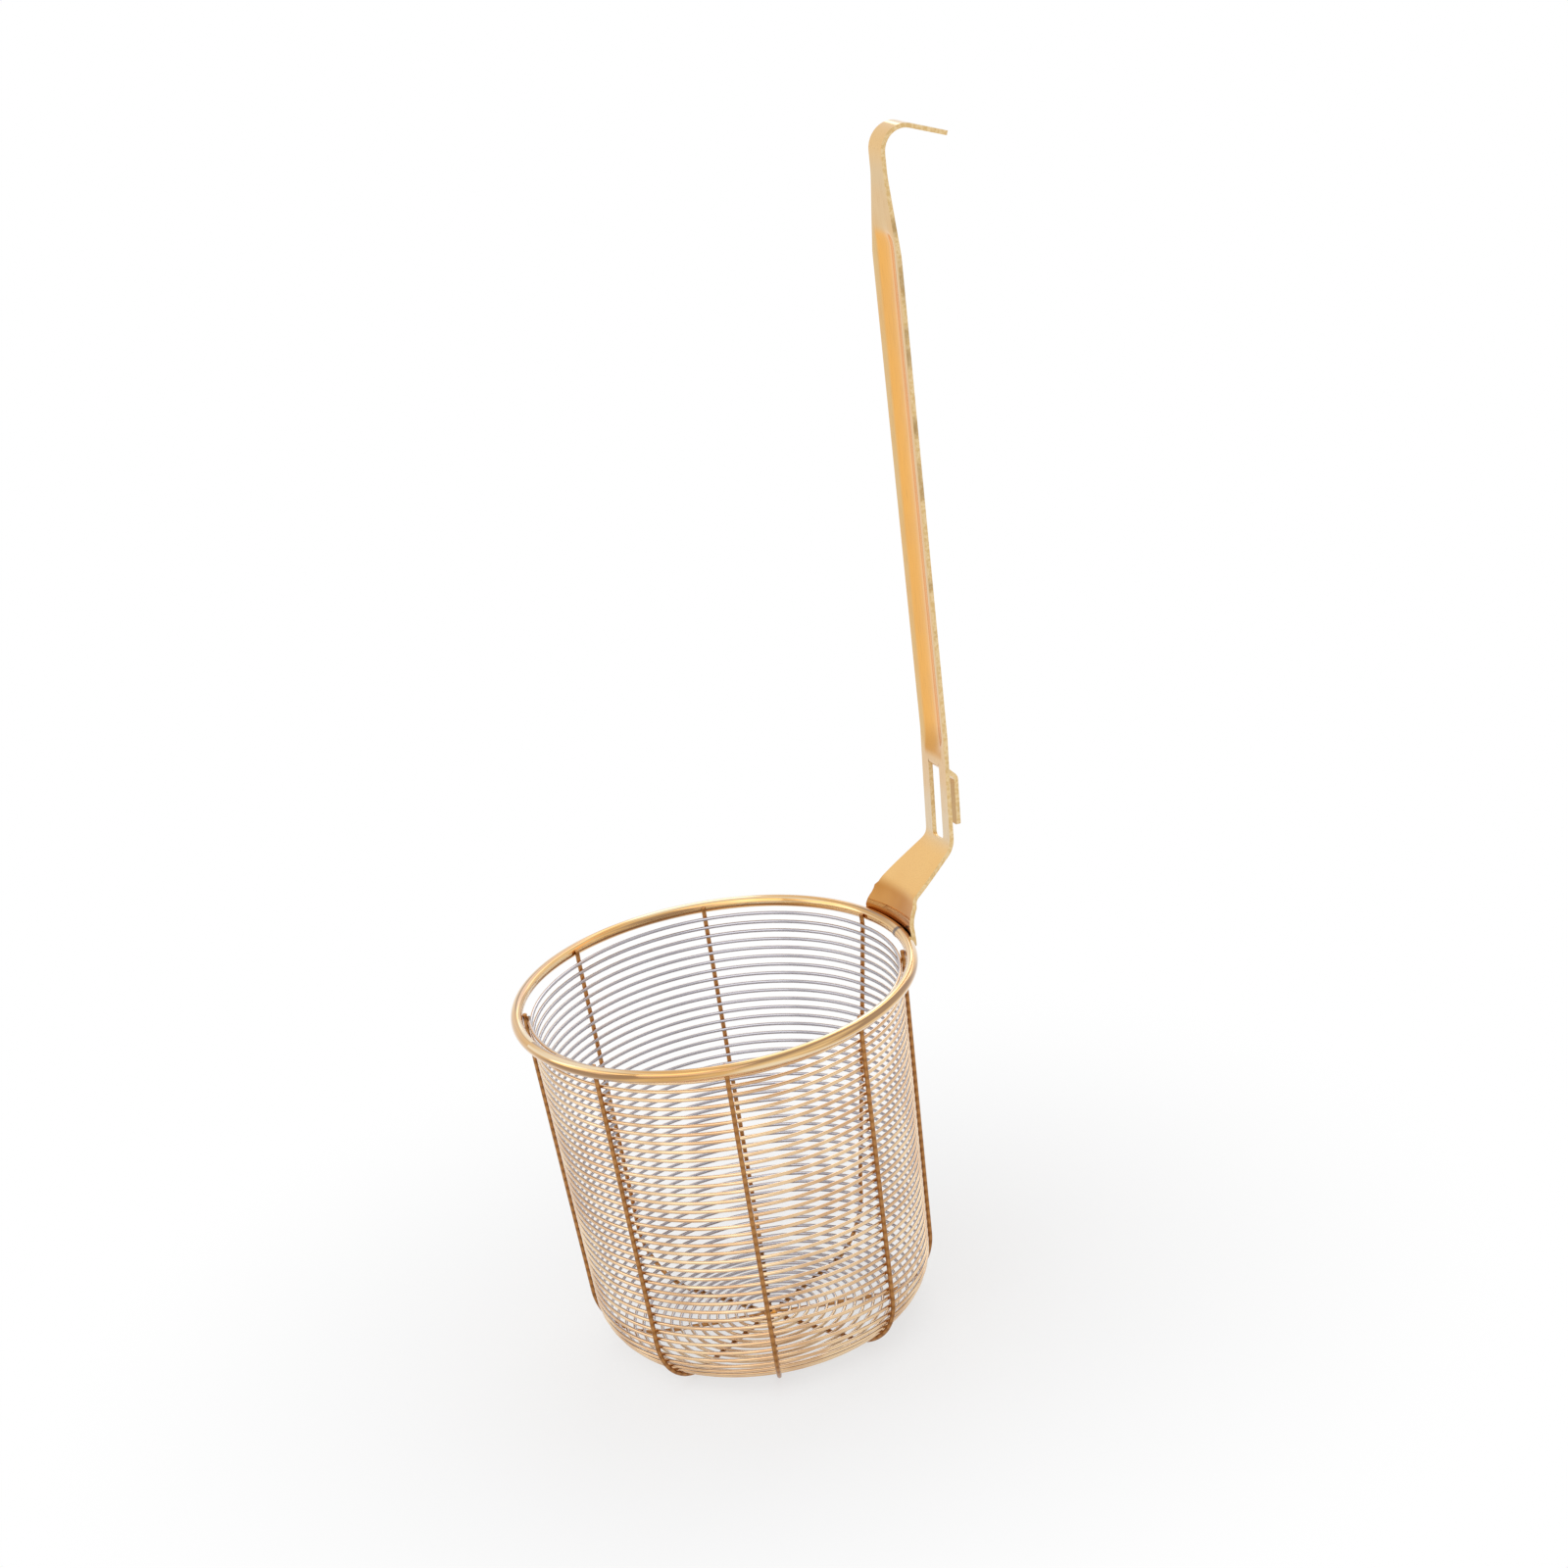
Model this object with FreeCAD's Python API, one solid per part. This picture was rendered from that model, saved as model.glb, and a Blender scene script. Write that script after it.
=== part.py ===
import FreeCAD, Part
import math
import os

# A long-handled noodle strainer, all of stainless steel. Four U-shaped ribs hang inside a thick rim ring and
# cross under the middle of the bottom. One thin wire runs from the rim to the centre inside the ribs, as a
# spiral. A pressed strip is the handle: its foot hugs the ring, a crank stands it clear of a pot's wall, a
# tongue punched out of it hangs over the pot's edge, and its top end is bent over as a hanging hook.
#
# All sizes are in millimetres. +Z is up and the handle stands toward +X. The origin is the centre of the
# underside, where the strainer stands.

V = FreeCAD.Vector

# What is welded together is drawn this far apart
SEAT = 0.02

# Rim ring
RING_RADIUS = 65.0
RING_WIRE = 4.0
RING_STEPS = 72
RING_SIDES = 12

# Ribs: how many wires, and the line of each from the ring to the bottom
BASKET_DEPTH = 124.0
RIB_WIRES = 4
RIB_WIRE = 1.8
RIB_SIDES = 8
RIB_ABOVE_RING = 1.0
RIB_UPRIGHT = 3.0
BOTTOM_RADIUS = 56.2
CORNER_RADIUS = 20.0
CORNER_STEPS = 6
CROSSING_CLEARANCE = 0.3

# The thin wire, wound from the rim to the centre
THIN_WIRE = 1.2
THIN_PITCH = 3.3
FIRST_TURN_DROP = 4.6
LAST_TURN_RADIUS = 6.0
WALL_STEPS = 24
FLOOR_STEPS = 16

# Handle strip
SHEET = 1.5
FOOT_HALF_WIDTH = 16.0
FOOT_BELOW_RING = 5.0
FOOT_SHOULDER = 6.0
FOOT_CORNER = 3.0
FOLD_HEIGHT = 12.0
FOLD_HALF_WIDTH = 10.2
CRANK_OUT = 20.2
CRANK_UP = 11.5
KNEE_RADIUS = 6.0
KNEE_HALF_WIDTH = 9.4
WAIST_HEIGHT = 60.0
WAIST_HALF_WIDTH = 8.8
HANDLE_LEAN = 2.9
HANDLE_TOP = 262.0
GRIP_END = 222.0
GRIP_HALF_WIDTH = 9.6
NECK_START = 246.0
NECK_HALF_WIDTH = 4.7
HOOK_LENGTH = 28.0
HOOK_DROP = 16.0
HOOK_RADIUS = 5.8
HOOK_TIP_HALF_WIDTH = 3.4

# Trough pressed into the grip
TROUGH_BOTTOM = 57.0
TROUGH_TOP = 229.0
TROUGH_WIDTH = 12.6
TROUGH_DEPTH = 1.6

# Slot and the tongue punched out of it
SLOT_BOTTOM = 25.5
SLOT_TOP = 54.0
SLOT_WIDTH = 6.6
SLOT_CORNER = 1.6
TONGUE_CLEARANCE = 0.2
TONGUE_OFFSET = 7.0
TONGUE_DROP = 8.0
TONGUE_TIP = 26.8
TONGUE_BEND = 2.4

RING_Z = BASKET_DEPTH
RIB_TURN = math.pi / RIB_WIRES
RIB_LINE_RADIUS = RING_RADIUS - RING_WIRE / 2 - SEAT - RIB_WIRE / 2


def polar(radius, angle, z):
    """A point at this distance and angle round the strainer's axis."""
    return V(radius * math.cos(angle), radius * math.sin(angle), z)


def section(sides, across):
    """Corners of a regular outline with flats facing in, out, up and down."""
    reach = across / 2 / math.cos(math.pi / sides)
    turns = [2 * math.pi * (k + 0.5) / sides for k in range(sides)]
    return [(reach * math.cos(a), reach * math.sin(a)) for a in turns]


def closed(points):
    return Part.makePolygon(list(points) + [points[0]])


def mitres(line):
    """For each point of a flat line, the unit vector across it and how far a mitre stretches there."""
    ways = [(b - a).normalize() for a, b in zip(line, line[1:])]
    before, after = [ways[0]] + ways, ways + [ways[-1]]
    out = []
    for a, b in zip(before, after):
        along = (a + b).normalize()
        out.append((V(-along.z, 0, along.x), 1 / along.dot(a)))
    return out


def offset_line(line, distance):
    """The line moved sideways, to the left of its direction in the XZ plane."""
    return [p + n * (distance * k) for p, (n, k) in zip(line, mitres(line))]


def rib_line():
    """Centre line of half a rib in the XZ plane, from the ring down, round the corner and to the axis."""
    floor = RIB_WIRE / 2
    top = V(RIB_LINE_RADIUS, 0, RING_Z + RIB_ABOVE_RING)
    upright_end = V(RIB_LINE_RADIUS, 0, RING_Z - RIB_UPRIGHT)
    lean = math.atan2(RIB_LINE_RADIUS - BOTTOM_RADIUS, upright_end.z - floor)
    turn = math.pi / 2 - lean
    centre = V(BOTTOM_RADIUS - CORNER_RADIUS * math.tan(turn / 2), 0, floor + CORNER_RADIUS)
    arc = [-lean - turn * k / CORNER_STEPS for k in range(CORNER_STEPS + 1)]
    corner = [centre + V(math.cos(a), 0, math.sin(a)) * CORNER_RADIUS for a in arc]
    return [top, upright_end] + corner + [V(0, 0, floor)]


def rim_ring():
    outline = section(RING_SIDES, RING_WIRE)
    stretch = 1 / math.cos(math.pi / RING_STEPS)
    rings = []
    for k in range(RING_STEPS + 1):
        angle = 2 * math.pi * k / RING_STEPS
        rings.append(closed([polar((RING_RADIUS + a) * stretch, angle, RING_Z + b) for a, b in outline]))
    half = RING_STEPS // 2
    first = Part.makeLoft(rings[: half + 1], True, True)
    second = Part.makeLoft(rings[half:], True, True)
    return first.fuse(second).removeSplitter()


def rib(number):
    """One U-shaped rib. Where the ribs cross, each is pressed to its own share of the wire's height."""
    half = rib_line()[:-1]
    line = half + [V(-p.x, 0, p.z) for p in reversed(half)]
    outline = section(RIB_SIDES, RIB_WIRE)
    rings = []
    for p, (n, k) in zip(line, mitres(line)):
        rings.append(closed([p + n * (a * k) + V(0, b, 0) for a, b in outline]))
    wire = Part.makeLoft(rings, True, True)
    share = RIB_WIRE / RIB_WIRES
    reach = RIB_WIRE / 2 * (1 + math.cos(RIB_TURN)) / math.sin(RIB_TURN) + CROSSING_CLEARANCE
    low, high = share * number + SEAT / 2, share * (number + 1) - SEAT / 2
    corner = V(-reach, -RIB_WIRE, 0)
    if number > 0:
        wire = wire.cut(Part.makeBox(2 * reach, 2 * RIB_WIRE, low, corner))
    if number < RIB_WIRES - 1:
        wire = wire.cut(Part.makeBox(2 * reach, 2 * RIB_WIRE, RIB_WIRE - high, corner + V(0, 0, high)))
    wire.rotate(V(), V(0, 0, 1), math.degrees(RIB_TURN * (number + 0.5)))
    return wire


def thin_wire():
    """The spiral, on the ribs' inner side. It is drawn square, with the area of the round wire."""
    side = THIN_WIRE * math.sqrt(math.pi / 4)
    gap = RIB_WIRE / 2 + SEAT + side / 2
    outer = rib_line()
    # Where the rib bends, a flat side needs a little more room
    line = [p - n * (gap * k + side * math.sqrt(k * k - 1)) for p, (n, k) in zip(outer, mitres(outer))][1:]
    runs = [(b - a).Length for a, b in zip(line, line[1:])]
    start = line[0].z - (RING_Z - FIRST_TURN_DROP)
    end = sum(runs) - LAST_TURN_RADIUS
    floor_radius = line[-2].x
    rings, angle, way = [], 0.0, start
    while way <= end:
        run, rest = 0, way
        while rest > runs[run]:
            rest -= runs[run]
            run += 1
        along = (line[run + 1] - line[run]).normalize()
        p = line[run] + along * rest
        across = V(-along.z, 0, along.x)
        steps = WALL_STEPS if p.x > floor_radius else FLOOR_STEPS
        stretch = 1 / math.cos(math.pi / steps)
        corners = [p + across * (a * side / 2) + along * (b * side / 2) for a, b in
                   ((1, 1), (-1, 1), (-1, -1), (1, -1))]
        rings.append(closed([polar(c.x * stretch, angle, c.z) for c in corners]))
        angle += 2 * math.pi / steps
        way += THIN_PITCH / steps
    return Part.makeLoft(rings, True, True)


def rounded(points, radii):
    """Edges along the points, with an arc of the given radius at each point between the ends."""
    edges, here = [], points[0]
    for before, p, after, radius in zip(points, points[1:], points[2:], radii):
        a, b = (before - p).normalize(), (after - p).normalize()
        half = math.acos(max(-1.0, min(1.0, a.dot(b)))) / 2
        if radius > 0 and math.pi / 2 - half > 1e-4:
            cut = radius / math.tan(half)
            first, last = p + a * cut, p + b * cut
            middle = p + (a + b).normalize() * (radius / math.sin(half) - radius)
            edges += [Part.LineSegment(here, first).toShape(), Part.Arc(first, middle, last).toShape()]
            here = last
        else:
            edges.append(Part.LineSegment(here, p).toShape())
            here = p
    edges.append(Part.LineSegment(here, points[-1]).toShape())
    return edges


def bent_sheet(line, bends, half_width):
    """Sheet metal of the strip's thickness, bent along a line in the XZ plane."""
    faces = []
    for side in (1, -1):
        radii = []
        for p, q, r, bend in zip(line, line[1:], line[2:], bends):
            left_turn = (q - p).cross(r - q).y < 0
            radii.append(bend - SHEET / 2 if left_turn == (side > 0) else bend + SHEET / 2)
        faces.append((offset_line(line, side * SHEET / 2), radii))
    (left, left_radii), (right, right_radii) = faces
    edges = rounded(left, left_radii) + rounded(right, right_radii)
    edges += [Part.LineSegment(left[0], right[0]).toShape(), Part.LineSegment(left[-1], right[-1]).toShape()]
    outline = Part.Wire(Part.__sortEdges__(edges))
    sheet = Part.Face(outline).extrude(V(0, 2 * half_width, 0))
    sheet.translate(V(0, -half_width, 0))
    return sheet


FOOT_INSIDE = (RING_RADIUS + RING_WIRE / 2) / math.cos(math.pi / RING_STEPS) + SEAT
FOLD = V(FOOT_INSIDE + SHEET / 2, 0, RING_Z + FOLD_HEIGHT)
KNEE = FOLD + V(CRANK_OUT, 0, CRANK_UP)
GRIP_WAY = V(math.sin(math.radians(HANDLE_LEAN)), 0, math.cos(math.radians(HANDLE_LEAN)))
GRIP_OUT = V(GRIP_WAY.z, 0, -GRIP_WAY.x)


def on_grip(height):
    """The point of the strip's centre line at this height above the ring."""
    return KNEE + GRIP_WAY * ((RING_Z + height - KNEE.z) / GRIP_WAY.z)


def side_line():
    """Centre line of the strip from inside the foot, over the knee and up to the hook's tip."""
    inward = FOLD - V(CRANK_OUT, 0, CRANK_UP).normalize() * FOOT_CORNER
    top = on_grip(HANDLE_TOP)
    drop = math.radians(HOOK_DROP)
    tip = top + V(math.cos(drop), 0, -math.sin(drop)) * HOOK_LENGTH
    return [inward, KNEE, top, tip]


def front_outline():
    """The strip seen from the front, from the foot to above the hook."""
    half = [
        (-FOOT_BELOW_RING, FOOT_HALF_WIDTH, FOOT_CORNER),
        (FOOT_SHOULDER, FOOT_HALF_WIDTH, FOOT_CORNER),
        (FOLD_HEIGHT, FOLD_HALF_WIDTH, FOOT_CORNER),
        (FOLD_HEIGHT + CRANK_UP, KNEE_HALF_WIDTH, GRIP_HALF_WIDTH),
        (WAIST_HEIGHT, WAIST_HALF_WIDTH, GRIP_HALF_WIDTH),
        (GRIP_END, GRIP_HALF_WIDTH, 2 * GRIP_HALF_WIDTH),
        (NECK_START, NECK_HALF_WIDTH, 2 * GRIP_HALF_WIDTH),
    ]
    above = RING_Z + HANDLE_TOP + HOOK_RADIUS
    right = [V(0, 0, RING_Z - FOOT_BELOW_RING)] + [V(0, w, RING_Z + z) for z, w, _ in half]
    right += [V(0, NECK_HALF_WIDTH, above), V(0, 0, above)]
    edges = rounded(right, [r for _, _, r in half] + [0])
    mirror = [e.mirror(V(), V(0, 1, 0)) for e in edges]
    outline = Part.Face(Part.Wire(Part.__sortEdges__(edges + mirror)))
    return outline.extrude(V(2 * RING_RADIUS + HOOK_LENGTH, 0, 0))


def foot():
    """The curved plate on the ring's outer side, up to the crank."""
    low = RING_Z - FOOT_BELOW_RING
    height = FOOT_BELOW_RING + FOLD_HEIGHT + CRANK_UP
    plate = Part.makeCylinder(FOOT_INSIDE + SHEET, height, V(0, 0, low))
    plate = plate.cut(Part.makeCylinder(FOOT_INSIDE, height, V(0, 0, low)))
    crank = V(CRANK_OUT, 0, CRANK_UP).normalize()
    up = V(-crank.z, 0, crank.x)
    corner = FOLD - crank * FOOT_INSIDE
    above = [corner, corner + crank * 2 * FOOT_INSIDE]
    above += [above[1] + up * FOOT_INSIDE, above[0] + up * FOOT_INSIDE]
    above = Part.Face(closed(above)).extrude(V(0, 2 * FOOT_INSIDE, 0))
    above.translate(V(0, -FOOT_INSIDE, 0))
    return plate.cut(above)


def capsule(start, end, radius):
    way = end - start
    rod = Part.makeCylinder(radius, way.Length, start, way)
    return rod.fuse([Part.makeSphere(radius, start), Part.makeSphere(radius, end)])


def handle():
    """The one-piece strip: outline and bends, foot, pressed trough, slot, tongue and hook."""
    outline = front_outline()
    strip = bent_sheet(side_line(), [KNEE_RADIUS, HOOK_RADIUS], FOOT_HALF_WIDTH + 1)
    strip = strip.cut(Part.makeCylinder(FOOT_INSIDE, 2 * CRANK_OUT, V(0, 0, RING_Z)))
    strip = strip.fuse(foot()).common(outline)

    # Pressed trough: hollow on the basket's side, raised on the other
    radius = (TROUGH_WIDTH ** 2 / 4 + TROUGH_DEPTH ** 2) / (2 * TROUGH_DEPTH)
    inset = GRIP_OUT * (SHEET / 2 + radius - TROUGH_DEPTH)
    first = on_grip(TROUGH_BOTTOM + TROUGH_WIDTH / 2) - inset
    last = on_grip(TROUGH_TOP - TROUGH_WIDTH / 2) - inset
    outer_half = Part.makeBox(4 * SHEET, 4 * TROUGH_WIDTH, HANDLE_TOP, V(0, -2 * TROUGH_WIDTH, 0))
    outer_half.rotate(V(), V(0, 1, 0), HANDLE_LEAN)
    outer_half.translate(KNEE)
    raised = capsule(first, last, radius + SHEET).common(outer_half)
    strip = strip.fuse(raised).cut(capsule(first, last, radius))

    # Slot, with rounded corners, cut square through the strip
    low, high = on_grip(SLOT_BOTTOM), on_grip(SLOT_TOP)
    across = V(0, SLOT_WIDTH / 2, 0)
    corners = [low, low + across, high + across, high - across, low - across, low]
    slot = Part.Face(Part.Wire(Part.__sortEdges__(rounded(corners, [SLOT_CORNER] * 4))))
    slot = slot.extrude(GRIP_OUT * 4 * SHEET)
    slot.translate(GRIP_OUT * -2 * SHEET)
    strip = strip.cut(slot)

    # Tongue, rooted above the slot and hanging on the side away from the basket
    root = on_grip(SLOT_TOP + SHEET)
    elbow = on_grip(SLOT_TOP - TONGUE_DROP) + GRIP_OUT * TONGUE_OFFSET
    tip = on_grip(TONGUE_TIP) + GRIP_OUT * TONGUE_OFFSET
    line = [root, on_grip(SLOT_TOP), elbow, tip]
    tongue = bent_sheet(line, [TONGUE_BEND / 2, TONGUE_BEND], SLOT_WIDTH / 2 - TONGUE_CLEARANCE)
    strip = strip.fuse(tongue)

    # Hook's tip, narrowed and rounded in plan
    root_x, tip_x = on_grip(HANDLE_TOP).x, side_line()[-1].x
    wide, tip = FOOT_HALF_WIDTH + 1, HOOK_TIP_HALF_WIDTH
    neck_x = root_x + HOOK_RADIUS
    right = [V(0, wide, 0), V(neck_x, wide, 0), V(neck_x, NECK_HALF_WIDTH, 0), V(tip_x, tip, 0), V(tip_x, 0, 0)]
    edges = rounded(right, [0, 0, tip * 0.8])
    mirror = [e.mirror(V(), V(0, 1, 0)) for e in edges]
    ends = [Part.LineSegment(V(0, wide, 0), V(0, -wide, 0)).toShape()]
    plan = Part.Face(Part.Wire(Part.__sortEdges__(edges + mirror + ends)))
    return strip.common(plan.extrude(V(0, 0, RING_Z + 2 * HANDLE_TOP))).removeSplitter()


def write(name, shape):
    solids = shape.Solids
    if len(solids) != 1 or not shape.isValid():
        raise ValueError(f"{name}: {len(solids)} solids, valid {shape.isValid()}")
    box = shape.BoundBox
    print(f"{name}: {shape.Volume / 1000:.2f} cm3, z {box.ZMin:.2f} to {box.ZMax:.2f}, faces {len(shape.Faces)}")
    solids[0].exportStep(f"parts/{name}.step")


os.makedirs("parts", exist_ok=True)
write("rim_ring", rim_ring())
for number in range(RIB_WIRES):
    write(f"rib_{number + 1}", rib(number))
write("spiral_wire", thin_wire())
write("handle", handle())
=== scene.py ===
import math

import bmesh
import bpy
from mathutils import Matrix, Quaternion, Vector


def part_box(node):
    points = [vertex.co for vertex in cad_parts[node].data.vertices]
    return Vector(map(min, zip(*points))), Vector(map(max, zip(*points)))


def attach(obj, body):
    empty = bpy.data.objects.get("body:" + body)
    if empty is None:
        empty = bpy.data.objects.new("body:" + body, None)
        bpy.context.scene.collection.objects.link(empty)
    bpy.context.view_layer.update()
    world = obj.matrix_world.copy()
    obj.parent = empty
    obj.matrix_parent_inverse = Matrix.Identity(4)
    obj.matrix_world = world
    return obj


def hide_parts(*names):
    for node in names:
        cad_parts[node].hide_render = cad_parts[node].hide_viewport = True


# A long-handled noodle strainer of gold-coloured stainless steel: a thick rim ring, four U-shaped ribs
# outside a thin wire wound as a spiral, a weld bead wherever the two cross, and a pressed strip with a hook
# as the handle. Shapes are drawn in millimetres, with the bottom at Z = 0 and the handle toward +X, and
# become metres when each piece is finished.

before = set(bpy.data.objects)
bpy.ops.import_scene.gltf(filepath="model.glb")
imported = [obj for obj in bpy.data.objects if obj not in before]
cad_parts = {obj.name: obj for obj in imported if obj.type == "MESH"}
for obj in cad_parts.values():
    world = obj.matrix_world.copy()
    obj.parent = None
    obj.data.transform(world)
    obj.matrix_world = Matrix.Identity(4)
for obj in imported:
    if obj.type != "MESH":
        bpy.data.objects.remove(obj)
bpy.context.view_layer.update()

MM = 0.001
FULL_TURN = 2 * math.pi
QUARTER_TURN = math.pi / 2
CLOSE = 1e-6
NEARLY_STRAIGHT = 1e-4


def box_mm(name):
    """The two corners of a node's box, in millimetres."""
    low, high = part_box(name)
    return low / MM, high / MM


ring_low, ring_high = box_mm("rim_ring")
handle_high = box_mm("handle")[1]

# Rim ring
RING_WIRE = 4.0
RING_Z = (ring_high.z + ring_low.z) / 2
RING_RADIUS = 65.0
RING_STEPS = 240
RING_SIDES = 28
RING_MERGE = 0.001
JOINT_TURN = math.radians(-8.0)
JOINT_WIDTH = 1.1
JOINT_SWELL = 0.2
RIB_HEAT_REACH = 2.0
RIB_HEAT = 0.4

# Ribs: the way each lies across the bottom, and its line from the ring to the middle of the bottom. One end
# of the first rib is drawn toward the handle's foot, so that leg leans along the wall.
RIB_TURNS = [math.radians(a) for a in (26.5, 67.5, 112.5, 157.5)]
LEANING_LEG_TURN = math.radians(-15.5)
RIB_WIRE = 1.5
RIB_SIDES = 14
RIB_STEP = 1.1
RIB_ABOVE_RING = 0.95
RIB_UPRIGHT = 3.0
RIB_END_ROUND = 0.25
BOTTOM_RADIUS = 56.2
CORNER_RADIUS = 21.0
CROSSING_REACH = 6.0
CROSSING_FLAT_SHARE = 0.45
CROSSING_WIDENS = 1.25
RIB_LINE_RADIUS = RING_RADIUS - RING_WIRE / 2 - RIB_WIRE / 2
RIB_FLOOR = RIB_WIRE / 2
UPRIGHT_END = RING_Z - RIB_UPRIGHT
WALL_LEAN = math.atan2(RIB_LINE_RADIUS - BOTTOM_RADIUS, UPRIGHT_END - RIB_FLOOR)
CORNER_TOP = RIB_FLOOR + CORNER_RADIUS * (1 - math.sin(WALL_LEAN))

# Thin wire, wound inside the ribs
THIN_WIRE = 1.2
THIN_SIDES = 10
THIN_PITCH = 3.15
THIN_STEPS = 90
THIN_MERGE = 0.005
FIRST_TURN_DROP = 0.6
FIRST_TURN_START = RIB_TURNS[-1]
LAST_TURN_RADIUS = 6.0
WELD_BITE = 0.08
DRUM_RADIUS = 60.0

# Weld beads
BEAD_LENGTH = 1.4
BEAD_WIDTH = 1.5
BEAD_THICK = 0.5
CENTRE_BEAD = 4.6
CENTRE_BEAD_HEIGHT = 1.9
CENTRE_SPOT = 1.6
CENTRE_PIT_DEPTH = 0.4

# Handle strip: heights are above the middle of the ring's wire
SHEET = 1.5
FOOT_GAP = 0.1
BOX_MARGIN = 0.01
EDGE_ROUND = 0.28
EDGE_SEGMENTS = 3
EDGE_SHARPNESS = math.radians(50)
FOOT_HALF_WIDTH = handle_high.y
FOOT_BELOW_RING = 4.0
FOOT_SHOULDER = 3.0
FOOT_CORNER = 2.5
FLARE_HEIGHT = 4.0
FLARE_ROUND = 7.0
FOLD_OUT = 4.2
FOLD_HEIGHT = 11.9
FOLD_HALF_WIDTH = 11.7
FOLD_ROUND = 3.5
CRANK_SHOULDER = 15.1
CRANK_SHOULDER_HALF_WIDTH = 11.0
CRANK_OUT = 16.3
CRANK_UP = 10.8
CRANK_SLOPE = CRANK_UP / CRANK_OUT
KNEE_RADIUS = 6.0
KNEE_HALF_WIDTH = 8.2
WAIST_HEIGHT = 60.0
WAIST_HALF_WIDTH = 8.0
SLOT_LEAN = math.radians(5.0)
HANDLE_LEAN = math.radians(2.8)
GRIP_END = 221.0
GRIP_HALF_WIDTH = 8.5
NECK_START = 246.0
NECK_HALF_WIDTH = 4.2
HOOK_LENGTH = 26.2
HOOK_DROP = math.radians(23.0)
HOOK_RADIUS = 7.5
HOOK_CREST = handle_high.z - RING_Z - BOX_MARGIN
HOOK_TIP_HALF_WIDTH = 3.2
HOOK_TIP_ROUND = HOOK_TIP_HALF_WIDTH * 0.8
HOOK_END_HALF_WIDTH = 0.62
TROUGH_BOTTOM = 53.5
TROUGH_TOP = 229.0
TROUGH_WIDTH = 12.0
TROUGH_DEPTH = 1.6
TROUGH_LIP = 2.0
SLOT_BOTTOM = 24.0
SLOT_TOP = 51.0
SLOT_WIDTH = 7.2
SLOT_CORNER = 1.6
TONGUE_CLEARANCE = 0.2
TONGUE_ROOT = 1.0
TONGUE_OFFSET = 5.5
TONGUE_DROP = 6.2
TONGUE_TIP = 28.2
TONGUE_TIP_SHARE = 0.84
TONGUE_BEND = 2.4
FOOT_INSIDE = RING_RADIUS + RING_WIRE / 2 + FOOT_GAP

# Rows of the strip's blank: the most that lies between two rows, the steps of each bend, and where rows
# stand closer at a rounding
FOOT_ROW_STEP = 1.2
KNEE_ROW_STEP = 0.45
ROW_STEP = 2.0
LEAST_ROW_STEP = 0.2
BEND_STEPS = 12
FLARE_STEPS = 8
OUTLINE_STEPS = 10
TONGUE_STEPS = 6
FOLD_TRIES = 16
FOOT_CORNER_SHARES = (0, 0.12, 0.33, 0.66, 1)
SLOT_CORNER_TURNS = [math.radians(a) for a in (0, 25, 45, 65, 90)]
TROUGH_END_SHARES = (0.05, 0.15, 0.3, 0.5, 0.75, 1.0)
ROW_BELOW_TROUGH = 1.0
ROW_ABOVE_TROUGH = 1.5
HOOK_TIP_SHARES = (0.75, 0.5, 0.3, 0.14, 0.05, 0.0)
TONGUE_SHARES = (0.35, 0.5, 0.7, 0.9, 0.97, 1.0)

# Columns of the blank: from its middle to the trough's edge in millimetres, and from there on as shares of
# the way to the strip's edge. The slot's side runs along one of them.
COLUMN_MARKS = (0, 1.2, 2.4, SLOT_WIDTH / 2, 4.3, 5.0, 5.5, TROUGH_WIDTH / 2)
MARGIN_SHARES = (0.25, 0.5, 0.75, 1)
SLOT_COLUMN = 3
INNER_SHARE = 0.74

# Camera, fitted to the photograph: in millimetres, but for how far it sees, which is in metres
CAMERA_TARGET = (30.24, -13.06, 65.35 + RING_Z)
CAMERA_DISTANCE = 1223.8
CAMERA_AZIMUTH = math.radians(-113.35)
CAMERA_ELEVATION = math.radians(21.55)
CAMERA_ROLL = math.radians(-9.19)
CAMERA_LENS = 88.07
CAMERA_SENSOR = 36.0
CAMERA_REACH = 100

# Floor and lamps, in metres. Up to the fade's start the floor shows the paper with white mixed in by
# FADE_LEAST, and past the fade's end it shows white alone.
LAMP_TARGET = (0.02, 0, 0.16)
FLOOR_RADIUS = 12.0
FLOOR_SIDES = 96
FLOOR_DROP = 0.0002
FADE_START = 0.05
FADE_END = 0.26
FADE_LEAST = 0.62

# Patterns of the coats: the grain of each noise in millimetres, how closely the drawn lines lie per metre in
# each direction, the depth of the bumps, and how far the butt weld's dark line, painted as shade, and the
# painted shade at each rib crossing reach
STRIP_PATCH = 24
EDGE_TEAR = 1.2
EDGE_PATCH = 18
RING_PATCH = 30
THIN_PATCH = 16
WELD_GRAIN = 0.6
CENTRE_GRAIN = 0.8
STRIP_LINES = (2900, 2900, 16)
RING_LINES = (25, 2000, 1)
# The ring's wide dark and pale bands are painted reflections and highlights.
RING_REFLECTION_STREAKS = (14, 420, 1)
RIB_LINES = (80, 2500, 1)
GROOVE_DEPTH = 0.03
DIMPLE_DEPTH = 0.1
# The butt weld's dark line is painted darker as the foot's shade on the ring.
SEAM_SHADE_CORE = 0.4
SEAM_SHADE_EDGE = 1.6
CROSSING_SHADE_CORE = 0.2
CROSSING_SHADE_EDGE = 1.1

# The strip's coat: the foot's tone, and then each tone up from there, with the two heights between which it
# sets in. The foot's dark brown and the amber of the first tone are painted shade where the foot meets the
# ring, and the pale tone round the slot is a painted highlight.
FOOT_SHADE_TONE = "#5E3410"
STRIP_TONES = (("#BB7A2C", -1, 4), ("#EFC07A", 9, 13), ("#DDC7A6", 20, 27), ("#DDBB84", 50, 60),
               ("#DCBE90", 222, 238), ("#E6BE82", 246, 256))

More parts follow.
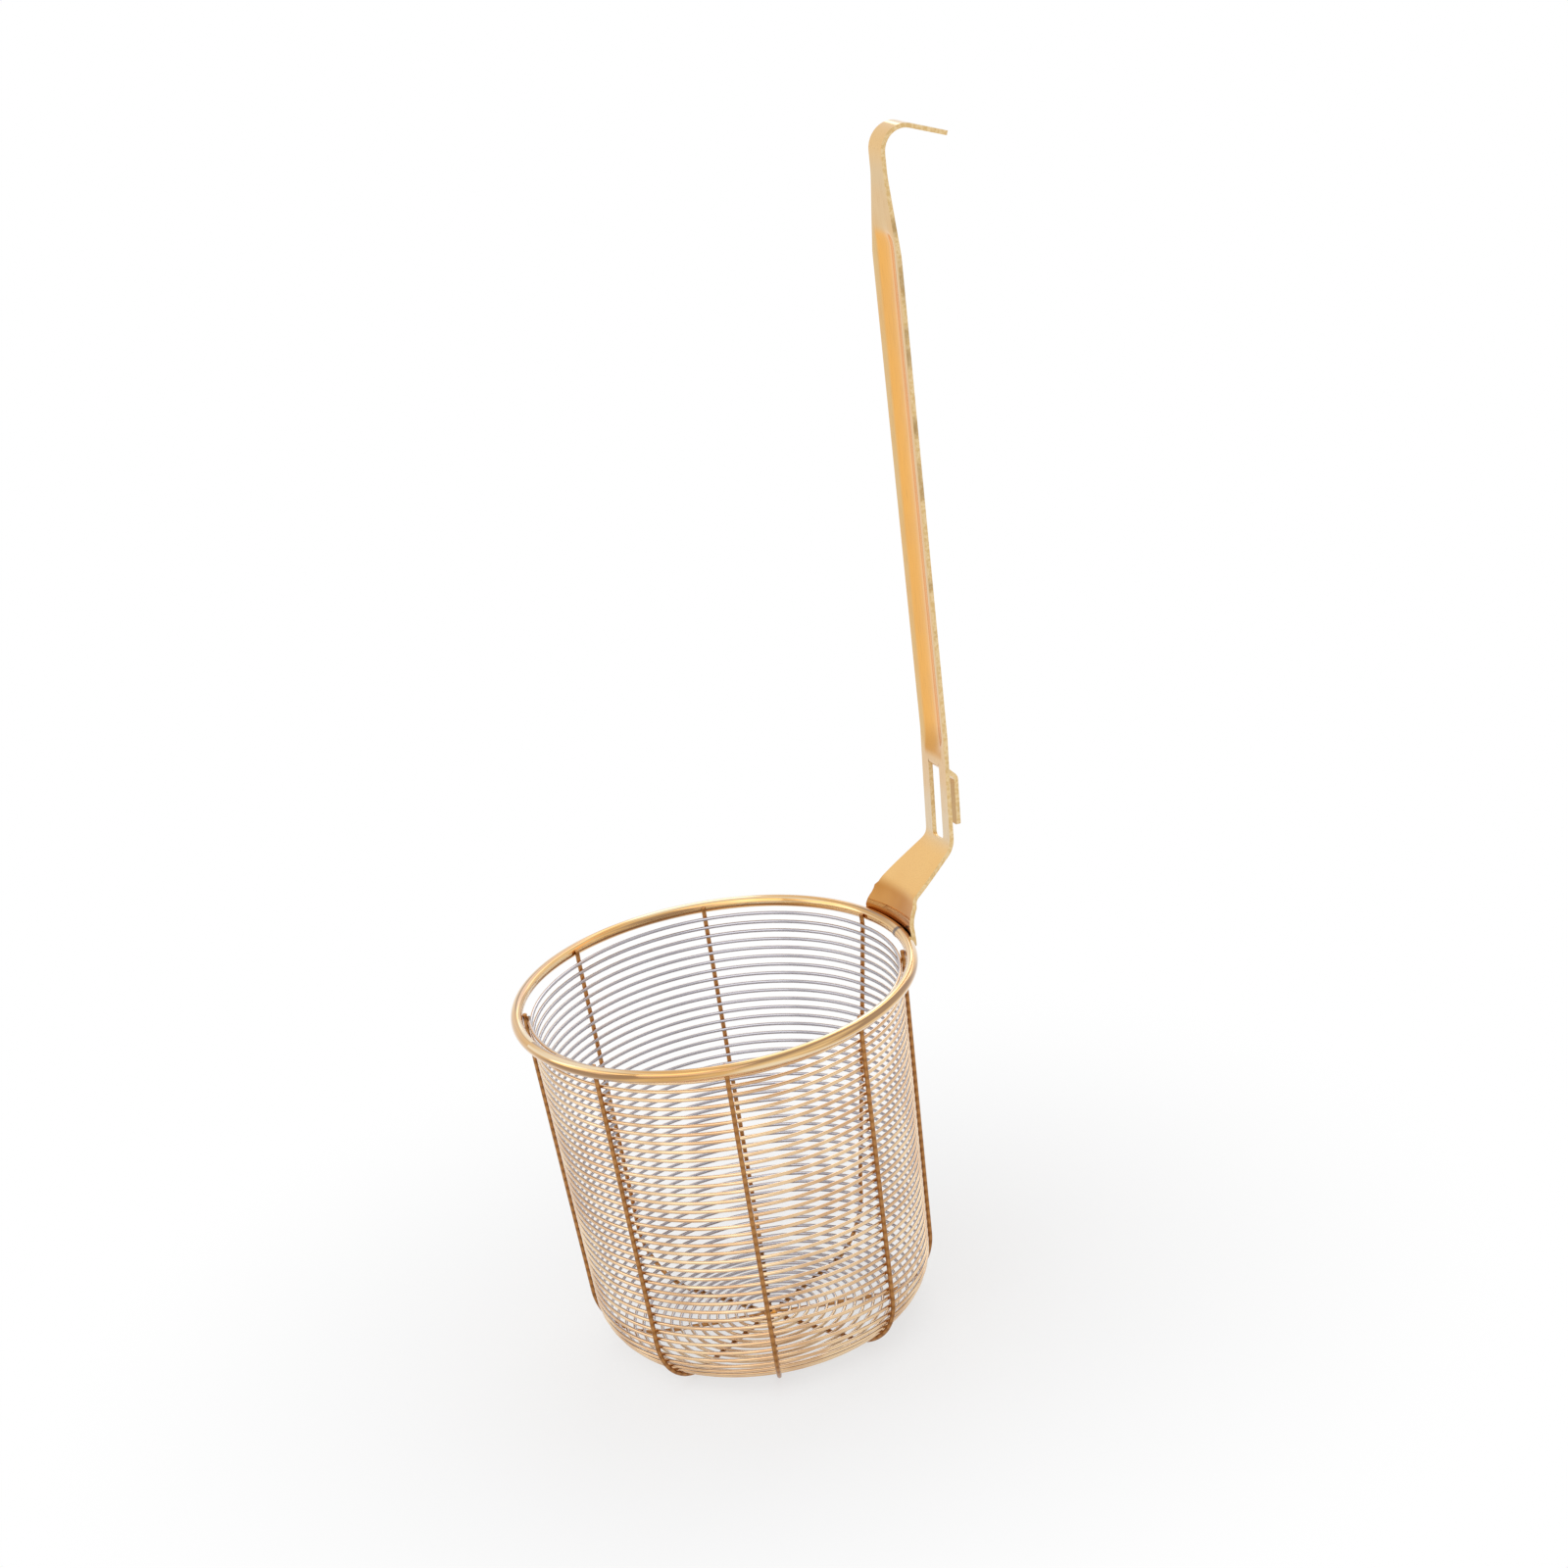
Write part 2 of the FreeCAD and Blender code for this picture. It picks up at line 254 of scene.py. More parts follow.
# The trough's own tone: where it fades out across, as shares of the width, where it fades out at the lower
# and the upper end, and how far up the browner start reaches
TROUGH_TONE_EDGE = (0.4, 0.53)
TROUGH_TONE_LOW = (-2, 1)
TROUGH_TONE_HIGH = (-3, 1)
TROUGH_BROWN_REACH = 12

# Settings that many nodes share
SMOOTH = {"interpolation_type": "SMOOTHSTEP"}
COLOUR = {"data_type": "RGBA"}
MULTIPLY = {"operation": "MULTIPLY"}
SUBTRACT = {"operation": "SUBTRACT"}
ABSOLUTE = {"operation": "ABSOLUTE"}
MAXIMUM = {"operation": "MAXIMUM"}
LENGTH = {"operation": "LENGTH"}


def linear(hex_colour):
    """A hex colour as the eye reads it, turned to the linear values that a shader takes."""
    parts = [int(hex_colour[i:i + 2], 16) / 255 for i in (1, 3, 5)]
    return [p / 12.92 if p <= 0.04045 else ((p + 0.055) / 1.055) ** 2.4 for p in parts] + [1.0]


def node(tree, kind, settings=None, **inputs):
    """
    Adds a shader node. Settings are its own fields. An input is a value, a hex colour or another node's
    output, and is told by its name or, as i0, i1 and so on, by its place.
    """
    made = tree.nodes.new(kind)
    for name, value in (settings or {}).items():
        setattr(made, name, value)
    for name, value in inputs.items():
        place = int(name[1:]) if name[0] == "i" and name[1:].isdigit() else name.replace("_", " ")
        if isinstance(value, bpy.types.NodeSocket):
            tree.links.new(value, made.inputs[place])
        else:
            made.inputs[place].default_value = linear(value) if isinstance(value, str) else value
    return made


def new_material(name):
    """A material of this name with no nodes yet, and its node tree."""
    material = bpy.data.materials.new(name)
    material.use_nodes = True
    material.node_tree.nodes.clear()
    return material, material.node_tree


def buffed_strip():
    """
    Titanium-nitride coated stainless sheet, buffed lengthways to a near mirror. The coat is dark brown and
    then amber on the foot, painted as shade where it meets the ring, warm gold on the crank, paler round the
    slot as a painted highlight, paler along the grip and on the hook, and orange-gold in the pressed trough,
    which starts browner. Soft patches and faint long polishing lines vary it.
    """
    material, tree = new_material("titanium_coated_buffed_sheet")
    place = node(tree, "ShaderNodeTexCoord").outputs["Object"]
    patches = node(tree, "ShaderNodeTexNoise", Vector=place, Scale=1 / (STRIP_PATCH * MM)).outputs[0]
    drawn_out = node(tree, "ShaderNodeMapping", Vector=place, Scale=STRIP_LINES).outputs[0]
    lines = node(tree, "ShaderNodeTexNoise", Vector=drawn_out, Scale=1.0, Detail=3.0).outputs[0]
    where = node(tree, "ShaderNodeSeparateXYZ", Vector=place).outputs
    # The coat starts from the foot's painted shade. The first tone up is painted shade too, and the slot's
    # pale tone is a painted highlight.
    coat = FOOT_SHADE_TONE
    for tone, start, end in STRIP_TONES:
        share = node(tree, "ShaderNodeMapRange", SMOOTH, Value=where[2], i1=(RING_Z + start) * MM,
                     i2=(RING_Z + end) * MM).outputs[0]
        coat = node(tree, "ShaderNodeMix", COLOUR, i0=share, i6=coat, i7=tone).outputs[2]
    aside = node(tree, "ShaderNodeMath", ABSOLUTE, i0=where[1]).outputs[0]
    pressed = node(tree, "ShaderNodeMapRange", SMOOTH, Value=aside,
                   i1=TROUGH_TONE_EDGE[0] * TROUGH_WIDTH * MM, i2=TROUGH_TONE_EDGE[1] * TROUGH_WIDTH * MM,
                   i3=1.0, i4=0.0).outputs[0]
    trough_low, trough_high = RING_Z + TROUGH_BOTTOM, RING_Z + TROUGH_TOP
    above = node(tree, "ShaderNodeMapRange", SMOOTH, Value=where[2],
                 i1=(trough_low + TROUGH_TONE_LOW[0]) * MM,
                 i2=(trough_low + TROUGH_TONE_LOW[1]) * MM).outputs[0]
    below = node(tree, "ShaderNodeMapRange", SMOOTH, Value=where[2],
                 i1=(trough_high + TROUGH_TONE_HIGH[0]) * MM,
                 i2=(trough_high + TROUGH_TONE_HIGH[1]) * MM, i3=1.0, i4=0.0).outputs[0]
    pressed = node(tree, "ShaderNodeMath", MULTIPLY, i0=pressed, i1=above).outputs[0]
    pressed = node(tree, "ShaderNodeMath", MULTIPLY, i0=pressed, i1=below).outputs[0]
    past_start = node(tree, "ShaderNodeMapRange", SMOOTH, Value=where[2], i1=trough_low * MM,
                      i2=(trough_low + TROUGH_BROWN_REACH) * MM).outputs[0]
    trough = node(tree, "ShaderNodeMix", COLOUR, i0=past_start, i6="#C88E42", i7="#F2B45E").outputs[2]
    coat = node(tree, "ShaderNodeMix", COLOUR, i0=pressed, i6=coat, i7=trough).outputs[2]
    thick = node(tree, "ShaderNodeMapRange", SMOOTH, Value=patches, i1=0.35, i2=0.7, i4=0.45).outputs[0]
    coat = node(tree, "ShaderNodeMix", COLOUR, i0=thick, i6=coat, i7="#E6AE66").outputs[2]
    faint = node(tree, "ShaderNodeMapRange", SMOOTH, Value=lines, i1=0.45, i2=0.8, i4=0.28).outputs[0]
    coat = node(tree, "ShaderNodeMix", COLOUR, i0=faint, i6=coat, i7="#B88A4E").outputs[2]
    rough = node(tree, "ShaderNodeMapRange", Value=lines, i1=0.3, i2=0.7, i3=0.06, i4=0.13).outputs[0]
    grooves = node(tree, "ShaderNodeBump", Strength=0.1, Distance=GROOVE_DEPTH * MM, Height=lines).outputs[0]
    shader = node(tree, "ShaderNodeBsdfPrincipled", Metallic=1.0, Base_Color=coat, Roughness=rough,
                  Normal=grooves, Coat_Weight=0.25, Coat_Roughness=0.08)
    node(tree, "ShaderNodeOutputMaterial", Surface=shader.outputs[0])
    return material


def sheared_edge():
    """The strip's cut edge: torn, painted paler as a highlight, and rougher, with brown patches."""
    material, tree = new_material("sheared_sheet_edge")
    place = node(tree, "ShaderNodeTexCoord").outputs["Object"]
    tears = node(tree, "ShaderNodeTexNoise", Vector=place, Scale=1 / (EDGE_TEAR * MM)).outputs[0]
    bare = node(tree, "ShaderNodeTexNoise", Vector=place, Scale=1 / (EDGE_PATCH * MM)).outputs[0]
    torn = node(tree, "ShaderNodeMapRange", SMOOTH, Value=tears, i1=0.35, i2=0.65).outputs[0]
    # The edge's pale tones are a painted highlight.
    coat = node(tree, "ShaderNodeMix", COLOUR, i0=torn, i6="#D9B77E", i7="#E8CC9C").outputs[2]
    dark = node(tree, "ShaderNodeMapRange", SMOOTH, Value=bare, i1=0.58, i2=0.74, i4=0.6).outputs[0]
    coat = node(tree, "ShaderNodeMix", COLOUR, i0=dark, i6=coat, i7="#8A6A42").outputs[2]
    scratches = node(tree, "ShaderNodeBump", Strength=0.12, Distance=GROOVE_DEPTH * MM,
                     Height=tears).outputs[0]
    shader = node(tree, "ShaderNodeBsdfPrincipled", Metallic=1.0, Base_Color=coat, Roughness=0.34,
                  Normal=scratches)
    node(tree, "ShaderNodeOutputMaterial", Surface=shader.outputs[0])
    return material


def drawn_ring_rod():
    """
    Titanium-nitride coated stainless rod, drawn and polished: deep gold with fine lines, wide dark and pale
    bands along it that are painted reflections and highlights, a heat-browned place where each rib is welded
    on, and a dark line at the butt weld, painted darker as the foot's shade on it.
    """
    material, tree = new_material("titanium_coated_drawn_rod")
    place = node(tree, "ShaderNodeTexCoord").outputs["Object"]
    along = node(tree, "ShaderNodeUVMap", {"uv_map": "along"}).outputs[0]
    heat = node(tree, "ShaderNodeAttribute", {"attribute_name": "heat"}).outputs["Fac"]
    patches = node(tree, "ShaderNodeTexNoise", Vector=place, Scale=1 / (RING_PATCH * MM)).outputs[0]
    drawn_out = node(tree, "ShaderNodeMapping", Vector=along, Scale=RING_LINES).outputs[0]
    lines = node(tree, "ShaderNodeTexNoise", Vector=drawn_out, Scale=1.0, Detail=2.0).outputs[0]
    thick = node(tree, "ShaderNodeMapRange", SMOOTH, Value=patches, i1=0.35, i2=0.65).outputs[0]
    coat = node(tree, "ShaderNodeMix", COLOUR, i0=thick, i6="#D7A04E", i7="#E8BC78").outputs[2]
    faint = node(tree, "ShaderNodeMapRange", SMOOTH, Value=lines, i1=0.42, i2=0.72, i4=0.5).outputs[0]
    coat = node(tree, "ShaderNodeMix", COLOUR, i0=faint, i6=coat, i7="#8E6430").outputs[2]
    # Wide dark and pale bands along the rod: painted dark reflections and painted highlights.
    wide = node(tree, "ShaderNodeMapping", Vector=along, Scale=RING_REFLECTION_STREAKS).outputs[0]
    reflection_streaks = node(tree, "ShaderNodeTexNoise", Vector=wide, Scale=1.0, Detail=1.0).outputs[0]
    deep = node(tree, "ShaderNodeMapRange", SMOOTH, Value=reflection_streaks, i1=0.52, i2=0.62, i4=0.75).outputs[0]
    coat = node(tree, "ShaderNodeMix", COLOUR, i0=deep, i6=coat, i7="#7C5022").outputs[2]
    pale = node(tree, "ShaderNodeMapRange", SMOOTH, Value=reflection_streaks, i1=0.36, i2=0.46, i3=0.7,
                i4=0.0).outputs[0]
    coat = node(tree, "ShaderNodeMix", COLOUR, i0=pale, i6=coat, i7="#F4E3C0").outputs[2]
    coat = node(tree, "ShaderNodeMix", COLOUR, i0=heat, i6=coat, i7="#6B3C17").outputs[2]
    # The butt weld's dark line, painted darker as the foot's shade on the ring.
    way = node(tree, "ShaderNodeSeparateXYZ", Vector=along).outputs[0]
    off = node(tree, "ShaderNodeMath", SUBTRACT, i0=way, i1=RING_RADIUS * MM * JOINT_TURN).outputs[0]
    off = node(tree, "ShaderNodeMath", ABSOLUTE, i0=off).outputs[0]
    seam_shade = node(tree, "ShaderNodeMapRange", SMOOTH, Value=off, i1=SEAM_SHADE_CORE * MM, i2=SEAM_SHADE_EDGE * MM, i3=0.9,
                i4=0.0).outputs[0]
    coat = node(tree, "ShaderNodeMix", COLOUR, i0=seam_shade, i6=coat, i7="#3A1E0C").outputs[2]
    rough = node(tree, "ShaderNodeMapRange", Value=lines, i1=0.3, i2=0.7, i3=0.07, i4=0.14).outputs[0]
    grooves = node(tree, "ShaderNodeBump", Strength=0.12, Distance=GROOVE_DEPTH * MM,
                   Height=lines).outputs[0]
    shader = node(tree, "ShaderNodeBsdfPrincipled", Metallic=1.0, Base_Color=coat, Roughness=rough,
                  Normal=grooves, Coat_Weight=1.0, Coat_Roughness=0.06, Coat_IOR=1.7)
    node(tree, "ShaderNodeOutputMaterial", Surface=shader.outputs[0])
    return material


def drawn_rib_wire():
    """
    Titanium-nitride coated drawn wire: brownish amber with long fine lines, and painted darker brown over a
    short stretch at each weld to the thin wire, as shade where the thin wire crosses it.
    """
    material, tree = new_material("titanium_coated_drawn_rib_wire")
    along = node(tree, "ShaderNodeUVMap", {"uv_map": "along"}).outputs[0]
    drawn_out = node(tree, "ShaderNodeMapping", Vector=along, Scale=RIB_LINES).outputs[0]
    lines = node(tree, "ShaderNodeTexNoise", Vector=drawn_out, Scale=1.0, Detail=2.0).outputs[0]
    faint = node(tree, "ShaderNodeMapRange", SMOOTH, Value=lines, i1=0.4, i2=0.75, i4=0.55).outputs[0]
    coat = node(tree, "ShaderNodeMix", COLOUR, i0=faint, i6="#B5824E", i7="#8A5E38").outputs[2]
    # Painted shade: the rib turns darker brown over a short stretch at each crossing with the thin wire.
    way = node(tree, "ShaderNodeSeparateXYZ", Vector=along).outputs[0]
    off = node(tree, "ShaderNodeMath", {"operation": "PINGPONG"}, i0=way, i1=THIN_PITCH / 2 * MM).outputs[0]
    crossing_shade = node(tree, "ShaderNodeMapRange", SMOOTH, Value=off, i1=CROSSING_SHADE_CORE * MM,
                i2=CROSSING_SHADE_EDGE * MM, i3=0.5, i4=0.0).outputs[0]
    coat = node(tree, "ShaderNodeMix", COLOUR, i0=crossing_shade, i6=coat, i7="#7A4A22").outputs[2]
    shader = node(tree, "ShaderNodeBsdfPrincipled", Metallic=1.0, Base_Color=coat, Roughness=0.24)
    node(tree, "ShaderNodeOutputMaterial", Surface=shader.outputs[0])
    return material


def drawn_thin_wire():
    """
    Fine drawn wire: gold outside, and greyer on the side that faces the basket's middle, which is a painted
    cool reflection, as the far wires show from inside. Its clear top coat gives a pale gloss at low angles.
    """
    material, tree = new_material("titanium_coated_drawn_thin_wire")
    coordinates = node(tree, "ShaderNodeTexCoord").outputs
    place = coordinates["Object"]
    patches = node(tree, "ShaderNodeTexNoise", Vector=place, Scale=1 / (THIN_PATCH * MM)).outputs[0]
    thick = node(tree, "ShaderNodeMapRange", SMOOTH, Value=patches, i1=0.35, i2=0.65).outputs[0]
    coat = node(tree, "ShaderNodeMix", COLOUR, i0=thick, i6="#CB9C64", i7="#E6C392").outputs[2]
    # Painted cool reflection: greyer on the side that faces the basket's middle.
    level = node(tree, "ShaderNodeVectorMath", MULTIPLY, i0=place, i1=(1, 1, 0)).outputs[0]
    away = node(tree, "ShaderNodeVectorMath", {"operation": "NORMALIZE"}, i0=level).outputs[0]
    facing = node(tree, "ShaderNodeVectorMath", {"operation": "DOT_PRODUCT"}, i0=away,
                  i1=coordinates["Normal"]).outputs["Value"]
    inner = node(tree, "ShaderNodeMapRange", SMOOTH, Value=facing, i1=-0.4, i2=0.3, i3=0.95,
                 i4=0.0).outputs[0]
    coat = node(tree, "ShaderNodeMix", COLOUR, i0=inner, i6=coat, i7="#A3A2AC").outputs[2]
    shader = node(tree, "ShaderNodeBsdfPrincipled", Metallic=1.0, Base_Color=coat, Roughness=0.18,
                  Coat_Weight=1.0, Coat_Roughness=0.1, Coat_IOR=2.0)
    node(tree, "ShaderNodeOutputMaterial", Surface=shader.outputs[0])
    return material


def weld_metal():
    """Resistance-welded beads: coated with the rest, but browned by the heat and a little rough."""
    material, tree = new_material("heat_browned_weld")
    place = node(tree, "ShaderNodeTexCoord").outputs["Object"]
    grain = node(tree, "ShaderNodeTexNoise", Vector=place, Scale=1 / (WELD_GRAIN * MM)).outputs[0]
    mottle = node(tree, "ShaderNodeMapRange", SMOOTH, Value=grain, i1=0.35, i2=0.65).outputs[0]
    coat = node(tree, "ShaderNodeMix", COLOUR, i0=mottle, i6="#8A5828", i7="#B98145").outputs[2]
    dimples = node(tree, "ShaderNodeBump", Strength=0.3, Distance=DIMPLE_DEPTH * MM, Height=grain).outputs[0]
    shader = node(tree, "ShaderNodeBsdfPrincipled", Metallic=1.0, Base_Color=coat, Roughness=0.32,
                  Normal=dimples)
    node(tree, "ShaderNodeOutputMaterial", Surface=shader.outputs[0])
    return material


def centre_weld_metal():
    """The weld over the ribs' crossing: mottled amber metal with a dark pit where the electrode stood."""
    material, tree = new_material("pitted_centre_weld")
    place = node(tree, "ShaderNodeTexCoord").outputs["Object"]
    grain = node(tree, "ShaderNodeTexNoise", Vector=place, Scale=1 / (CENTRE_GRAIN * MM)).outputs[0]
    mottle = node(tree, "ShaderNodeMapRange", SMOOTH, Value=grain, i1=0.35, i2=0.65).outputs[0]
    coat = node(tree, "ShaderNodeMix", COLOUR, i0=mottle, i6="#C07C2E", i7="#DB9C4C").outputs[2]
    level = node(tree, "ShaderNodeVectorMath", MULTIPLY, i0=place, i1=(1, 1, 0)).outputs[0]
    reach = node(tree, "ShaderNodeVectorMath", LENGTH, i0=level).outputs["Value"]
    pit = node(tree, "ShaderNodeMapRange", SMOOTH, Value=reach, i1=0.3 * CENTRE_SPOT * MM,
               i2=0.65 * CENTRE_SPOT * MM, i3=0.92, i4=0.0).outputs[0]
    coat = node(tree, "ShaderNodeMix", COLOUR, i0=pit, i6=coat, i7="#3A1F0C").outputs[2]
    dimples = node(tree, "ShaderNodeBump", Strength=0.3, Distance=DIMPLE_DEPTH * MM, Height=grain).outputs[0]
    shader = node(tree, "ShaderNodeBsdfPrincipled", Metallic=1.0, Base_Color=coat, Roughness=0.28,
                  Normal=dimples)
    node(tree, "ShaderNodeOutputMaterial", Surface=shader.outputs[0])
    return material


def finished(bm, name, material, slot, *nodes):
    """Turns the drawn shape to metres and makes it a piece of the strainer, in the place of these nodes."""
    bmesh.ops.scale(bm, vec=(MM, MM, MM), verts=bm.verts)
    for face in bm.faces:
        face.smooth = True
    mesh = bpy.data.meshes.new(name)
    bm.to_mesh(mesh)
    bm.free()
    mesh.materials.append(material)
    piece = bpy.data.objects.new(name, mesh)
    bpy.context.scene.collection.objects.link(piece)
    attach(piece, "root")
    if nodes:
        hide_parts(*nodes)
    return piece


def wire_circle(bm, sides, radius, placed):
    """The points of a circle of the wire's section, with placed as its matrix."""
    return bmesh.ops.create_circle(bm, cap_ends=False, segments=sides, radius=radius, matrix=placed)["verts"]


def edges_of(verts):
    """The edges that run between these points."""
    kept = set(verts)
    return [e for e in {e for v in verts for e in v.link_edges} if all(v in kept for v in e.verts)]


def basket_line(inset):
    """
    The line from the rim to the middle of the bottom, this far inside the ribs' centre line. Gives its length
    and a function from the way down it to the radius, the height and the outward direction there.
    """
    turn = QUARTER_TURN - WALL_LEAN
    centre_x = BOTTOM_RADIUS - CORNER_RADIUS * math.tan(turn / 2)
    centre_z = RIB_FLOOR + CORNER_RADIUS
    radius = CORNER_RADIUS - inset
    top_x = RIB_LINE_RADIUS - inset
    corner_x = centre_x + radius * math.cos(WALL_LEAN)
    wall = (UPRIGHT_END - centre_z + radius * math.sin(WALL_LEAN)) / math.cos(WALL_LEAN)
    corner = radius * turn

    def at(way):
        if way < RIB_UPRIGHT:
            return top_x, RING_Z - way, Vector((1, 0))
        way -= RIB_UPRIGHT
        if way < wall:
            out = Vector((math.cos(WALL_LEAN), -math.sin(WALL_LEAN)))
            height = UPRIGHT_END - way * math.cos(WALL_LEAN)
            return top_x + (corner_x - top_x) * way / wall, height, out
        way -= wall
        if way < corner:
            angle = WALL_LEAN + way / radius
            out = Vector((math.cos(angle), -math.sin(angle)))
            return centre_x + out.x * radius, centre_z + out.y * radius, out
        return centre_x - (way - corner), RIB_FLOOR + inset, Vector((0, -1))

    return RIB_UPRIGHT + wall + corner + centre_x, at


THIN_INSET = RIB_WIRE / 2 + THIN_WIRE / 2 - WELD_BITE
THIN_LINE_LENGTH, on_thin_line = basket_line(THIN_INSET)
THIN_END = THIN_LINE_LENGTH - LAST_TURN_RADIUS


def on_basket(way, out):
    """Radius and height this far down the thin wire's line and this far outside it."""
    radius, height, direction = on_thin_line(way)
    return radius + direction.x * out, height + direction.y * out


def leg_turn(number, side, height):
    """The way round the basket where a rib's leg is at this height. Side is 1 or -1 for its two legs."""
    turn = RIB_TURNS[number] + (math.pi if side < 0 else 0)
    if number == 0 and side > 0:
        turn += LEANING_LEG_TURN * min(1, max(0, (height - CORNER_TOP) / (UPRIGHT_END - CORNER_TOP)))
    return turn


def rim_ring():
    """The thick rod, bent round and butt-welded at the handle's foot."""
    bm = bmesh.new()
    placed = Matrix.Translation((RING_RADIUS, 0, RING_Z)) @ Matrix.Rotation(QUARTER_TURN, 4, "X")
    start = wire_circle(bm, RING_SIDES, RING_WIRE / 2, placed)
    bmesh.ops.spin(bm, geom=start + edges_of(start), axis=(0, 0, 1), cent=(0, 0, RING_Z), angle=FULL_TURN,
                   steps=RING_STEPS, use_merge=True)
    bmesh.ops.remove_doubles(bm, verts=bm.verts, dist=RING_MERGE)
    heat = bm.verts.layers.float.new("heat")
    legs = [leg_turn(number, side, RING_Z) for number in range(len(RIB_TURNS)) for side in (1, -1)]
    for v in bm.verts:
        angle = math.atan2(v.co.y, v.co.x)
        middle = Vector((math.cos(angle), math.sin(angle), 0)) * RING_RADIUS + Vector((0, 0, RING_Z))
        inward = 1 - max(0, (v.co - middle).normalized().dot(middle.normalized())) * 2
        # The bead that the butt weld leaves, flattened where the foot lies against the rod
        off = math.remainder(angle - JOINT_TURN, FULL_TURN) * RING_RADIUS / JOINT_WIDTH
        swell = 2 * JOINT_SWELL / RING_WIRE * math.exp(-off * off) * max(0, inward)
        v.co = middle + (v.co - middle) * (1 + swell)
        near = min(abs(math.remainder(angle - leg, FULL_TURN)) for leg in legs) * RING_RADIUS
        v[heat] = RIB_HEAT * max(0, inward) * math.exp(-(near / RIB_HEAT_REACH) ** 2)
    bmesh.ops.recalc_face_normals(bm, faces=bm.faces)
    uv = bm.loops.layers.uv.new("along")
    for face in bm.faces:
        middle = face.calc_center_median()
        middle_turn = math.atan2(middle.y, middle.x)
        round_middle = math.atan2(middle.z - RING_Z, math.hypot(middle.x, middle.y) - RING_RADIUS)
        for loop in face.loops:
            co = loop.vert.co
            angle = middle_turn + math.remainder(math.atan2(co.y, co.x) - middle_turn, FULL_TURN)
            around = math.atan2(co.z - RING_Z, math.hypot(co.x, co.y) - RING_RADIUS)
            around = round_middle + math.remainder(around - round_middle, FULL_TURN)
            loop[uv].uv = (RING_RADIUS * MM * angle, RING_WIRE / 2 * MM * around)
    finished(bm, "rim_ring_rod", drawn_ring_rod(), "ring_steel", "rim_ring")


def smooth_step(share):
    """0 up to a share of 0, 1 from a share of 1, and a soft rise between them."""
    share = min(1.0, max(0.0, share))
    return share * share * (3 - 2 * share)


def rib(number, material):
    """
    One rib, from the ring down, under the bottom and up the other side. Near the middle, where the four ribs
    cross, it is pressed flat to its own quarter of the wire's height.
    """
    half = THIN_LINE_LENGTH + RIB_ABOVE_RING
    steps = 2 * round(half / RIB_STEP)
    bm = bmesh.new()
    placed = Matrix.Translation((-half, 0, 0)) @ Matrix.Rotation(QUARTER_TURN, 4, "Y")
    start = wire_circle(bm, RIB_SIDES, RIB_WIRE / 2, placed)
    bmesh.ops.spin(bm, geom=start + edges_of(start), axis=(1, 0, 0), cent=(0, 0, 0), angle=0,
                   dvec=(2 * half / steps, 0, 0), steps=steps)
    ends = bmesh.ops.holes_fill(bm, edges=[e for e in bm.edges if e.is_boundary], sides=RIB_SIDES)["faces"]
    bmesh.ops.bevel(bm, geom=list({e for f in ends for e in f.edges}), offset=RIB_END_ROUND,
                    offset_type="OFFSET", affect="EDGES", segments=2, profile=0.5, material=-1)
    uv = bm.loops.layers.uv.new("along")
    for face in bm.faces:
        middle = face.calc_center_median()
        side = 1 if middle.x > 0 else -1
        round_middle = math.atan2(middle.z, middle.y)
        for loop in face.loops:
            along, across, out = loop.vert.co
            way = THIN_LINE_LENGTH - abs(along)
            turn = leg_turn(number, side, on_thin_line(way)[1])
            weld_way = FIRST_TURN_DROP + THIN_PITCH * (turn - FIRST_TURN_START) / FULL_TURN
            around = round_middle + math.remainder(math.atan2(out, across) - round_middle, FULL_TURN)
            loop[uv].uv = ((way - weld_way) * MM, RIB_WIRE / 2 * MM * around)
    share = RIB_WIRE / len(RIB_TURNS)
    for v in bm.verts:
        along, across, out = v.co
        side = 1 if along > 0 else -1
        past_flat = (abs(along) / CROSSING_REACH - CROSSING_FLAT_SHARE) / (1 - CROSSING_FLAT_SHARE)
        press = 1 - smooth_step(past_flat)
        across *= 1 + (CROSSING_WIDENS - 1) * press
        radius, height = on_basket(THIN_LINE_LENGTH - abs(along), THIN_INSET + out)
        lean = leg_turn(number, side, height) - leg_turn(number, side, 0)
        pressed = share * (number + 0.5) + (height - RIB_WIRE / 2) * share / RIB_WIRE
        height += (pressed - height) * press
        v.co = Matrix.Rotation(RIB_TURNS[number] + lean, 3, "Z") @ Vector((radius * side, across, height))
    bmesh.ops.recalc_face_normals(bm, faces=bm.faces)
    finished(bm, f"rib_wire_{number + 1}", material, "rib_steel", f"rib_{number + 1}")


